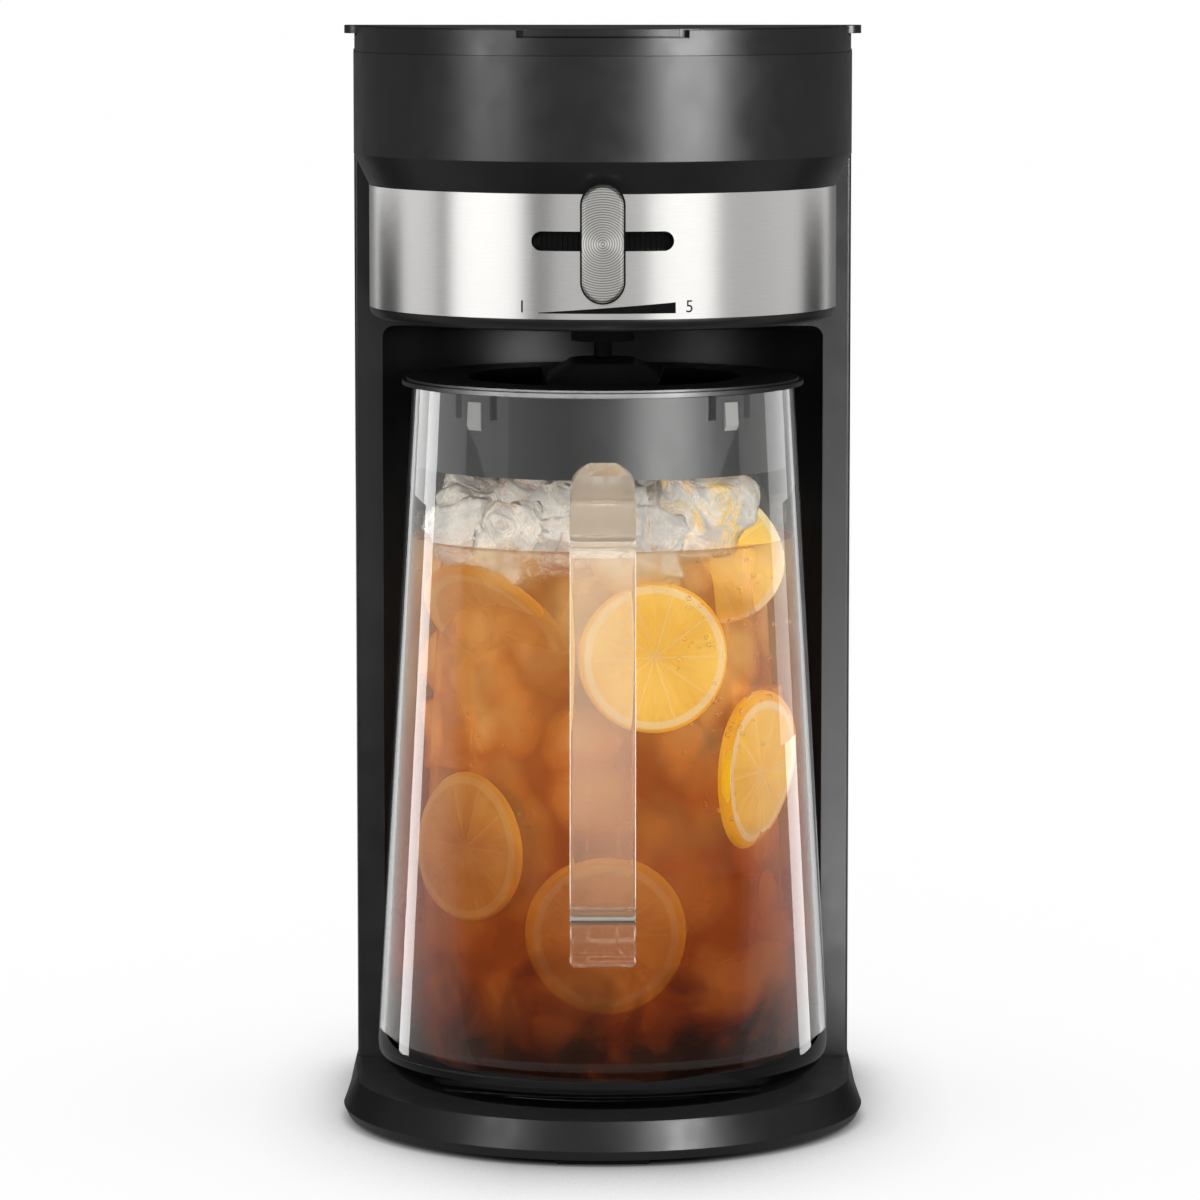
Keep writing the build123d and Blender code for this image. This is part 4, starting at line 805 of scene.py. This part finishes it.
def lemon(name, radius, wedges, rind, pith, pulp, deep, glow):
    """Colours by distance from the slice's middle, with membranes and juice sacs.

    The glow stands for light that passes through the fruit."""
    finish, tree = new_finish(name)
    coords, _, turn = point_on(tree)
    flat = add_node(tree, "VectorMath", {0: coords, 1: (1, 1, 0)}, operation="MULTIPLY")
    reach = add_node(tree, "VectorMath", {0: flat}, operation="LENGTH").outputs["Value"]
    share = add_node(tree, "Math", {0: reach, 1: radius * MM}, operation="DIVIDE")
    waves = add_node(tree, "Math", {0: turn, 1: wedges / 2}, operation="MULTIPLY")
    wall = add_node(tree, "Math", {
        0: add_node(tree, "Math", {0: waves}, operation="SINE")}, operation="ABSOLUTE")
    wide = add_node(tree, "Math", {0: wall, 1: share}, operation="MULTIPLY")
    sacs = add_node(tree, "CombineXYZ", {
        "X": add_node(tree, "Math", {0: turn, 1: SAC_SPREAD}, operation="MULTIPLY"),
        "Y": add_node(tree, "Math", {0: reach, 1: SAC_STRETCH}, operation="MULTIPLY")})
    juice = add_node(tree, "TexNoise", {
        "Vector": sacs, "Scale": scale_for(SAC_MM), "Detail": 2})
    cloud = add_node(tree, "TexNoise", {
        "Vector": coords, "Scale": scale_for(PATCH_MM), "Detail": 2})
    colour = add_node(tree, "Mix", {"Factor": cloud, 6: deep, 7: pulp}, data_type="RGBA")
    for measure, stops, layer in (
            (juice, [(0.3, 0.0), (0.7, 0.75)], pulp), (wide, [(0.01, 0.5), (0.1, 0.0)], pith),
            (share, [(0.845, 0.0), (0.865, 1.0)], pith),
            (share, [(0.945, 0.0), (0.965, 1.0)], rind)):
        cover = add_node(tree, "ValToRGB", {"Fac": measure}, stops)
        colour = add_node(tree, "Mix", {"Factor": cover, 6: colour.outputs[2], 7: layer},
                          data_type="RGBA")
    bump = add_node(tree, "Bump", {"Height": juice, "Distance": 0.25 * MM})
    fruit = add_node(tree, "BsdfPrincipled", {
        "Base Color": colour.outputs[2], "Roughness": 0.32, "IOR": 1.36, "Normal": bump,
        "Emission Color": colour.outputs[2], "Emission Strength": glow})
    finish_with(tree, fruit)
    return finish


# Both finishes glow, painted light through the fruit; the second is a darker, more orange copy
# with less glow, painted shade for the slices that lie lower and deeper in the tea.
lit_lemon = lemon("fresh_lemon", 24.6, 10, "#fdb71e", "#fde3a6", "#ffda62", "#fdba3a", 0.28)
shaded_lemon = lemon("steeped_lemon", 24.6, 10, "#e2942f", "#e2a75e", "#dd9844", "#c87a2e", 0.1)
print("fruit:", lit_lemon.name, shaded_lemon.name)

# %% [markdown]
# ## Placing the slices
# Slices slide down beside the wall and lie against it. So each is placed by its angle round
# the jar, its distance from the axis and its height, and faces outwards, with a little tilt.
# %% Drop in the slices
SLICE_THICK, WEDGES = 4.6, 10


def place_slice(name, radius, angle, reach, height, face, tilt, spin, curl, finish):
    """Angles in degrees from the front, towards the right; tilt turns the face upwards."""
    mesh = slice_mesh(name, radius, SLICE_THICK, WEDGES, curl, len(name))
    mesh.transform(Matrix.Rotation(radians(spin), 4, "Z"))
    fruit = piece(name, mesh, finish, "pitcher")
    face, tilt, angle = radians(face), radians(tilt), radians(angle)
    out = Vector((sin(face) * cos(tilt), -cos(face) * cos(tilt), sin(tilt)))
    middle = Vector((reach * sin(angle), -reach * cos(angle), height)) * MM
    turned_out = out.to_track_quat("Z", "Y").to_matrix().to_4x4()
    fruit.matrix_world = Matrix.Translation(middle) @ turned_out
    bpy.context.view_layer.update()
    furthest = 0
    for v in mesh.vertices:
        p = (fruit.matrix_world @ v.co) / MM
        furthest = max(furthest, sqrt(p.x ** 2 + p.y ** 2) - inside_radius(p.z))
    print(f"{name}: {furthest:+.1f} mm from the wall")


place_slice("lemon_middle", 24.6, 16, 58.6, 162.4, 14, 4, 12, 0.03, lit_lemon)
place_slice("lemon_right", 26.5, 57, 59.6, 121.8, 62, -4, 30, 0.05, lit_lemon)
place_slice("lemon_top_right", 22.8, 64, 41.5, 191.5, -20, -4, 0, 0.04, lit_lemon)
place_slice("lemon_top_left", 26.0, -48, 46.5, 171, -37, -41, 20, 0.05, shaded_lemon)
place_slice("lemon_left", 24.6, -45, 61.2, 98, -47, 2, 40, 0.03, shaded_lemon)
place_slice("lemon_low", 26.0, 1, 62.6, 72, 1, 3, 60, 0.03, shaded_lemon)

# %% [markdown]
# ## Bubbles
# A few small bubbles cling to the slices and the wall. Air inside water bends light the other
# way round: their IOR is 1 / 1.33 = 0.75 in theory, and 0.86 here, which keeps the dark edge
# of each one fine. They are drawn at 0.8 to 2 mm across, larger than life, so that they show.
# %% Bubbles
def bubbles(name, places, seed):
    """Spheres as one mesh; places are (angle, reach, height, spread, count)."""
    dice = Random(seed)
    froth = bmesh.new()
    for angle, reach, height, spread, count in places:
        for _ in range(count):
            a = radians(angle + dice.gauss(0, spread * 0.8))
            h = height + dice.gauss(0, spread)
            r = min(reach, inside_radius(h, 1.5))
            at = Matrix.Translation((r * sin(a) * MM, -r * cos(a) * MM, h * MM))
            bmesh.ops.create_icosphere(froth, subdivisions=2, matrix=at,
                                       radius=dice.uniform(0.4, 1.0) * MM)
    mesh = bpy.data.meshes.new(name)
    froth.to_mesh(mesh)
    froth.free()
    return mesh


bubble_film = clear_plastic("bubble_film", "#fff4dd", 0.02, ior=0.86)
bead_mesh = bubbles("bubbles", [(27, 65, 168, 5, 14), (38, 66, 140, 8, 26), (52, 66, 172, 9, 16),
                                (30, 67, 120, 10, 12), (-30, 66, 130, 14, 12)], 5)
piece("bubbles", bead_mesh, bubble_film, "pitcher")
print("bubble faces:", len(bead_mesh.polygons))

# %% [markdown]
# ## Print on the band
# The strength scale is pad printed in black: a wedge that grows towards the strong side, with
# a plain 1 and 5 at its ends. Print is a film of ink, so it is a skin 0.04 mm proud of the
# steel, bent round the same radius. Small numerals start as text and are bent afterwards.
# %% Black ink
INK_LIFT, INK_SINK = 0.04, -0.1


def ink():
    """A dull film of black ink with a faint grain."""
    finish, tree = new_finish("black_pad_ink")
    coords = add_node(tree, "TexCoord").outputs["Object"]
    cloud = add_node(tree, "TexNoise", {"Vector": coords, "Scale": scale_for(3), "Detail": 2})
    colour = add_node(tree, "ValToRGB", {"Fac": cloud}, [(0.3, "#0c0c0d"), (0.7, "#18181a")])
    grain = add_node(tree, "TexNoise", {"Vector": coords, "Scale": scale_for(0.6), "Detail": 1})
    bump = add_node(tree, "Bump", {"Height": grain, "Distance": 0.003 * MM})
    film = add_node(tree, "BsdfPrincipled", {
        "Base Color": colour, "Roughness": 0.42, "IOR": 1.5, "Normal": bump})
    finish_with(tree, film)
    return finish


pad_ink = ink()
BAND_RADIUS = -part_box("steel_band")[0].y / MM
print("band radius:", round(BAND_RADIUS, 2), "mm")


def wrap(x, z, lift):
    """A flat point (x along the band, z up), laid on the round band."""
    turn = x / BAND_RADIUS
    r = BAND_RADIUS + lift
    return (r * sin(turn) * MM, -r * cos(turn) * MM, z * MM)


# %% The wedge
def strength_wedge():
    """A bar that thickens from left to right, laid on the band."""
    start, end, low, thin, thick, columns = -21.0, 23.8, 276.0, 0.25, 3.5, 40
    rings = []
    for k in range(columns + 1):
        x = start + (end - start) * k / columns
        top = low + thin + (thick - thin) * k / columns
        rings.append([wrap(x, low, INK_LIFT), wrap(x, top, INK_LIFT),
                      wrap(x, top, INK_SINK), wrap(x, low, INK_SINK)])
    mesh = solid_mesh("strength_wedge", *bar(rings))
    piece("strength_wedge", mesh, pad_ink, "housing", smooth=False)
    print("wedge:", round(end - start, 1), "mm long and", thick, "mm high at its end")


strength_wedge()

# %% The numerals
DIGIT_SHARE = 0.69


def numeral(digit, x, z, height):
    """A plain numeral, turned from text into a thin mesh and wrapped round the band.

    A digit is DIGIT_SHARE of the font's size high."""
    font = bpy.data.curves.new("numeral_" + digit, "FONT")
    font.body, font.size, font.extrude = digit, height / DIGIT_SHARE, 0.07
    font.align_x, font.align_y = "CENTER", "CENTER"
    words = bpy.data.objects.new("words", font)
    bpy.context.scene.collection.objects.link(words)
    depsgraph = bpy.context.evaluated_depsgraph_get()
    mesh = bpy.data.meshes.new_from_object(words.evaluated_get(depsgraph))
    bpy.data.objects.remove(words)
    for v in mesh.vertices:
        v.co = wrap(x + v.co.x, z + v.co.y, -0.03 + v.co.z)
    mesh.materials.clear()
    piece("numeral_" + digit, mesh, pad_ink, "housing", smooth=False)
    print("numeral", digit, "has", len(mesh.polygons), "faces")


numeral("1", -26.5, 277.9, 3.9)
numeral("5", 28.5, 277.9, 3.9)

# %% [markdown]
# ## The studio
# The floor is plain and pale. Seen by the camera it is white, with a soft shadow painted in where
# the base touches it. Seen in gloss it is dim, as a table covered with black card would be, which
# is what lets black plastic stay black.
# %% Floor
# in metres: the floor's side, and how far its hard and its soft shadow reach
FLOOR_SIDE, HARD_REACH, SOFT_REACH = 80, 0.02, 0.15
SEEN_WHITE, PLAIN_GREY = 0.86, 0.62


def pale_floor():
    """White with a painted contact shadow for the camera, darker for reflections, plain for light.
    """
    finish, tree = new_finish("pale_floor")
    path = add_node(tree, "LightPath")
    place = add_node(tree, "SeparateXYZ", {
        "Vector": add_node(tree, "NewGeometry").outputs["Position"]})
    # Painted shadow: ambient occlusion darkens the camera's white near the machine; the wide part
    # fades out beside the base.
    touch = add_node(tree, "AmbientOcclusion", {"Distance": HARD_REACH}, samples=6)
    around = add_node(tree, "AmbientOcclusion", {"Distance": SOFT_REACH}, samples=10)
    aside = add_node(tree, "Math", {0: place.outputs["X"]}, operation="ABSOLUTE")
    off_side = add_node(tree, "MapRange", {"Value": aside, "From Min": 0.03, "From Max": 0.12})
    painted_shadow_side_fade = add_node(tree, "ValToRGB", {"Fac": off_side}, [(0.0, 1.0), (1.0, 0.12)])
    wide = add_node(tree, "ValToRGB", {"Fac": around.outputs["AO"]}, [
        (0.4, 1.0), (0.66, 0.62), (0.78, 0.24), (0.9, 0.0)])
    dimmed = add_node(tree, "Math", {0: wide, 1: painted_shadow_side_fade}, operation="MULTIPLY")
    soft = add_node(tree, "Math", {0: 1.0, 1: dimmed}, operation="SUBTRACT")
    dark = add_node(tree, "ValToRGB", {"Fac": touch.outputs["AO"]}, [(0.0, 0.05), (0.9, 1.0)])
    shade = add_node(tree, "Math", {0: soft, 1: dark}, operation="MULTIPLY")
    seen = add_node(tree, "Emission", {"Color": shade, "Strength": SEEN_WHITE})
    pale = add_node(tree, "BsdfDiffuse", {"Color": (0.22, 0.22, 0.22, 1)})
    white_and_painted_shade = add_node(tree, "AddShader", {0: seen, 1: pale})
    depth = add_node(tree, "MapRange", {
        "Value": place.outputs["Y"], "From Min": -0.3, "From Max": 0.15})
    dim = add_node(tree, "ValToRGB", {"Fac": depth}, [(0.0, 0.13), (1.0, 0.2)])
    gloss = add_node(tree, "Emission", {"Color": dim})
    plain = add_node(tree, "BsdfDiffuse", {"Color": (PLAIN_GREY,) * 3 + (1,)})
    shiny = add_node(tree, "Math", {
        0: path.outputs["Is Glossy Ray"], 1: path.outputs["Is Transmission Ray"]},
        operation="MAXIMUM")
    first = add_node(tree, "MixShader", {"Fac": shiny, 1: plain, 2: gloss})
    seen_through = add_node(tree, "Math", {
        0: path.outputs["Is Transmission Ray"], 1: depth}, operation="MULTIPLY")
    seen_by = add_node(tree, "Math", {
        0: path.outputs["Is Camera Ray"], 1: seen_through}, operation="MAXIMUM")
    finish_with(tree, add_node(tree, "MixShader", {"Fac": seen_by, 1: first, 2: white_and_painted_shade}))
    return finish


def stage_sheet(name, corners, finish):
    """One flat sheet of the studio, which belongs to no part of the machine."""
    mesh = solid_mesh(name, corners, [(0, 1, 2, 3)])
    mesh.materials.append(finish)
    sheet = bpy.data.objects.new(name, mesh)
    bpy.context.scene.collection.objects.link(sheet)
    return sheet


half = FLOOR_SIDE / 2
stage_sheet("floor", [(-half, -half, 0), (half, -half, 0), (half, half, 0), (-half, half, 0)],
            pale_floor())
print("floor:", FLOOR_SIDE, "m square")

# %% [markdown]
# ## The room
# The world stands for the room. The camera sees it white. In gloss it glows a little in front
# of the machine and is nearly black at its sides, so that black plastic keeps dark edges. For
# plain light it is an even grey, so colours render about as written.
# %% World
SIDE_GLOW, FRONT_GLOW, ROOM_LIGHT = 0.08, 0.24, 0.62


def studio_world():
    """White for the camera, dim for gloss, even grey for plain light."""
    world = bpy.data.worlds.new("studio")
    bpy.context.scene.world = world
    world.use_nodes = True
    tree = world.node_tree
    tree.nodes.clear()
    path = add_node(tree, "LightPath")
    way = add_node(tree, "SeparateXYZ", {
        "Vector": add_node(tree, "TexCoord").outputs["Generated"]})
    front = add_node(tree, "MapRange", {
        "Value": way.outputs["Y"], "From Min": -1.0, "From Max": -0.35})
    gloss = add_node(tree, "ValToRGB", {"Fac": front}, [(0.12, FRONT_GLOW), (0.9, SIDE_GLOW)])
    room = add_node(tree, "Mix", {
        "Factor": path.outputs["Is Glossy Ray"], 6: (ROOM_LIGHT,) * 3 + (1,), 7: gloss},
        data_type="RGBA")
    through = add_node(tree, "ValToRGB", {"Fac": front}, [(0.1, 0.12), (0.75, 1.0)])
    clear = add_node(tree, "Mix", {
        "Factor": path.outputs["Is Transmission Ray"], 6: room.outputs[2], 7: through},
        data_type="RGBA")
    colour = add_node(tree, "Mix", {
        "Factor": path.outputs["Is Camera Ray"], 6: clear.outputs[2], 7: (1, 1, 1, 1)},
        data_type="RGBA")
    shine = add_node(tree, "Background", {"Color": colour.outputs[2]})
    add_node(tree, "OutputWorld", {"Surface": shine})


studio_world()
print("room light:", ROOM_LIGHT, "gloss in front:", FRONT_GLOW, "at the sides:", SIDE_GLOW)

# %% [markdown]
# ## Softboxes
# In a product studio each surface has its own softbox, and flags keep it off the others. Light
# linking does the work of the flags: each box names the pieces that it shines on. A box's power
# follows from how bright its face should look: an area lamp of radiance L gives pi times L
# watts per square metre. Boxes for gloss leave the plain light alone. Upright walls can take a
# low box, but level tops would mirror it towards a viewer above, so they have their own.
# %% Lamps and flags
def only_on(light, names):
    """Lets a lamp or card light only the named pieces, as flags would."""
    group = bpy.data.collections.new(light.name + "_flags")
    for name in names.split():
        group.objects.link(bpy.data.objects[name])
    light.light_linking.receiver_collection = group


def softbox(name, azimuth, low, high, width, away, radiance, lights, kind="gloss"):
    """A flat lamp facing the machine; azimuth 0 is in front, positive towards the right."""
    lamp = bpy.data.lights.new(name, "AREA")
    lamp.shape, lamp.size, lamp.size_y = "RECTANGLE", width, high - low
    lamp.energy = radiance * pi * width * (high - low)
    box = bpy.data.objects.new(name, lamp)
    bpy.context.scene.collection.objects.link(box)
    turn = radians(azimuth)
    box.location = (away * sin(turn), -away * cos(turn), (low + high) / 2)
    box.rotation_euler = (pi / 2, 0, turn)
    box.visible_camera = False
    box.visible_diffuse = kind == "plain"
    box.visible_glossy = kind == "gloss"
    if lights:
        only_on(box, lights)


walls = "column_shell rear_cover head_shell lower_head button_bezel"
tops = "top_lid head_rim"
steel = "steel_band strength_knob"
filling = " ".join(o.name for o in bpy.data.objects if o.name.startswith(
    ("tea_", "floating_", "sunken_", "lemon_", "bubbles")))
filling += " pitcher_handle snap_wedge_faces"
# name, azimuth in degrees, foot and top in m, width and distance in m, radiance, pieces
for box in [
    ("strip_right", 39, 0.29, 1.15, 0.74, 1.5, 15, walls),
    ("strip_left", -52, 0.29, 1.15, 0.62, 1.5, 5.0, walls),
    ("lid_right", 39, 0.1, 0.48, 0.74, 1.5, 17, tops),
    ("lid_left", -52, 0.1, 0.48, 0.62, 1.5, 5.6, tops),
    ("base_right", 38, 0.78, 1.35, 0.62, 1.5, 14, "base_shell"),
    ("base_left", -50, 0.78, 1.35, 0.5, 1.5, 4.8, "base_shell"),
    ("steel_right", 39, -0.1, 0.7, 0.95, 1.5, 2.6, steel),
    ("steel_right_side", 102, -0.1, 0.7, 2.8, 1.5, 0.92, steel),
    ("steel_left", -58, -0.1, 0.7, 1.1, 1.5, 2.55, steel),
    ("steel_left_side", -117, -0.1, 0.7, 1.8, 1.5, 1.2, steel),
    ("steel_front", -3, -0.1, 0.7, 1.3, 1.6, 1.05, steel),
    ("collar_right", 38, -0.2, 0.3, 0.25, 0.9, 74, "pitcher_lid"),
    ("collar_front", -30, -0.2, 0.3, 2.0, 0.9, 24, "pitcher_lid"),
    ("key", -8, 0.5, 1.9, 1.6, 2.2, 1.0, None, "plain"),
    ("tea_right", 50, -0.1, 0.8, 1.0, 1.3, 6.8, filling, "plain"),
    ("tea_left", -50, -0.1, 0.8, 1.0, 1.3, 6.2, filling, "plain"),
]:
    softbox(*box)
print("lamps:", len(bpy.data.lights))

# %% Reflector cards
def card(name, corners, radiance, lights):
    """A glowing card that only the gloss of the named pieces can see."""
    finish, tree = new_finish(name + "_glow")
    finish_with(tree, add_node(tree, "Emission", {"Strength": radiance}))
    sheet = stage_sheet(name, corners, finish)
    sheet.visible_camera = sheet.visible_diffuse = sheet.visible_shadow = False
    sheet.visible_transmission = sheet.visible_volume_scatter = False
    only_on(sheet, lights)


def upright_card(name, first, last, low, high, radiance, lights="pitcher_jar", away=0.24):
    """A standing card from one azimuth in degrees to another, and from low to high in m."""
    ends = [(away * sin(radians(a)), -away * cos(radians(a))) for a in (first, last, last, first)]
    corners = [(x, y, h) for (x, y), h in zip(ends, (low, low, high, high))]
    card(name, corners, radiance, lights)


def floor_card(name, left, right, near, far, lift, radiance, lights):
    """A card that lies on the floor in front of the machine."""
    corners = [(left, far, lift), (right, far, lift), (right, near, lift), (left, near, lift)]
    card(name, corners, radiance, lights)


upright_card("card_left_front", -101, -113, 0.0, 0.30, 5.2)
upright_card("card_left_rear", -113, -127, 0.0, 0.30, 2.2)
upright_card("card_right_low", 104, 128, 0.0, 0.115, 4.2)
upright_card("card_right_high", 100, 122, 0.115, 0.30, 2.0)
upright_card("card_edge_left", -110, -140, 0.0, 0.2, 2.4, "column_shell")
upright_card("card_edge_right", 110, 140, 0.0, 0.2, 1.9, "column_shell")
floor_card("card_floor_near", 0.03, 0.4, -0.12, -0.7, 0.004, 6.0, "column_shell")
floor_card("card_floor_far", 0.03, 0.4, -0.7, -2.0, 0.004, 2.6, "column_shell")
floor_card("card_floor_steel", -1.2, 1.2, -0.16, -1.1, 0.003, 0.42, steel)

# %% [markdown]
# ## Camera
# The machine is seen from the front, a little from above, with a long lens from two metres,
# so its upright lines stay nearly parallel.
# %% Camera and view
LENS_MM, EYE, PITCH_DOWN = 179.66, (-0.0009, -1.9959, 0.4015), 6.478
eye = bpy.data.cameras.new("camera")
eye.lens, eye.sensor_width, eye.clip_end = LENS_MM, 36, 50
camera = bpy.data.objects.new("camera", eye)
camera.location = EYE
camera.rotation_euler = (radians(90 - PITCH_DOWN), 0, 0)
bpy.context.scene.collection.objects.link(camera)
scene = bpy.context.scene
scene.camera = camera
scene.view_settings.view_transform = "Standard"
scene.cycles.caustics_reflective = scene.cycles.caustics_refractive = False
scene.cycles.max_bounces = 14
scene.cycles.transmission_bounces = 12
scene.cycles.transparent_max_bounces = 24
scene.cycles.glossy_bounces = 4
scene.cycles.diffuse_bounces = 3
print("lens:", LENS_MM, "mm, eye", round(-EYE[1], 2), "m in front, pitched", PITCH_DOWN, "degrees")
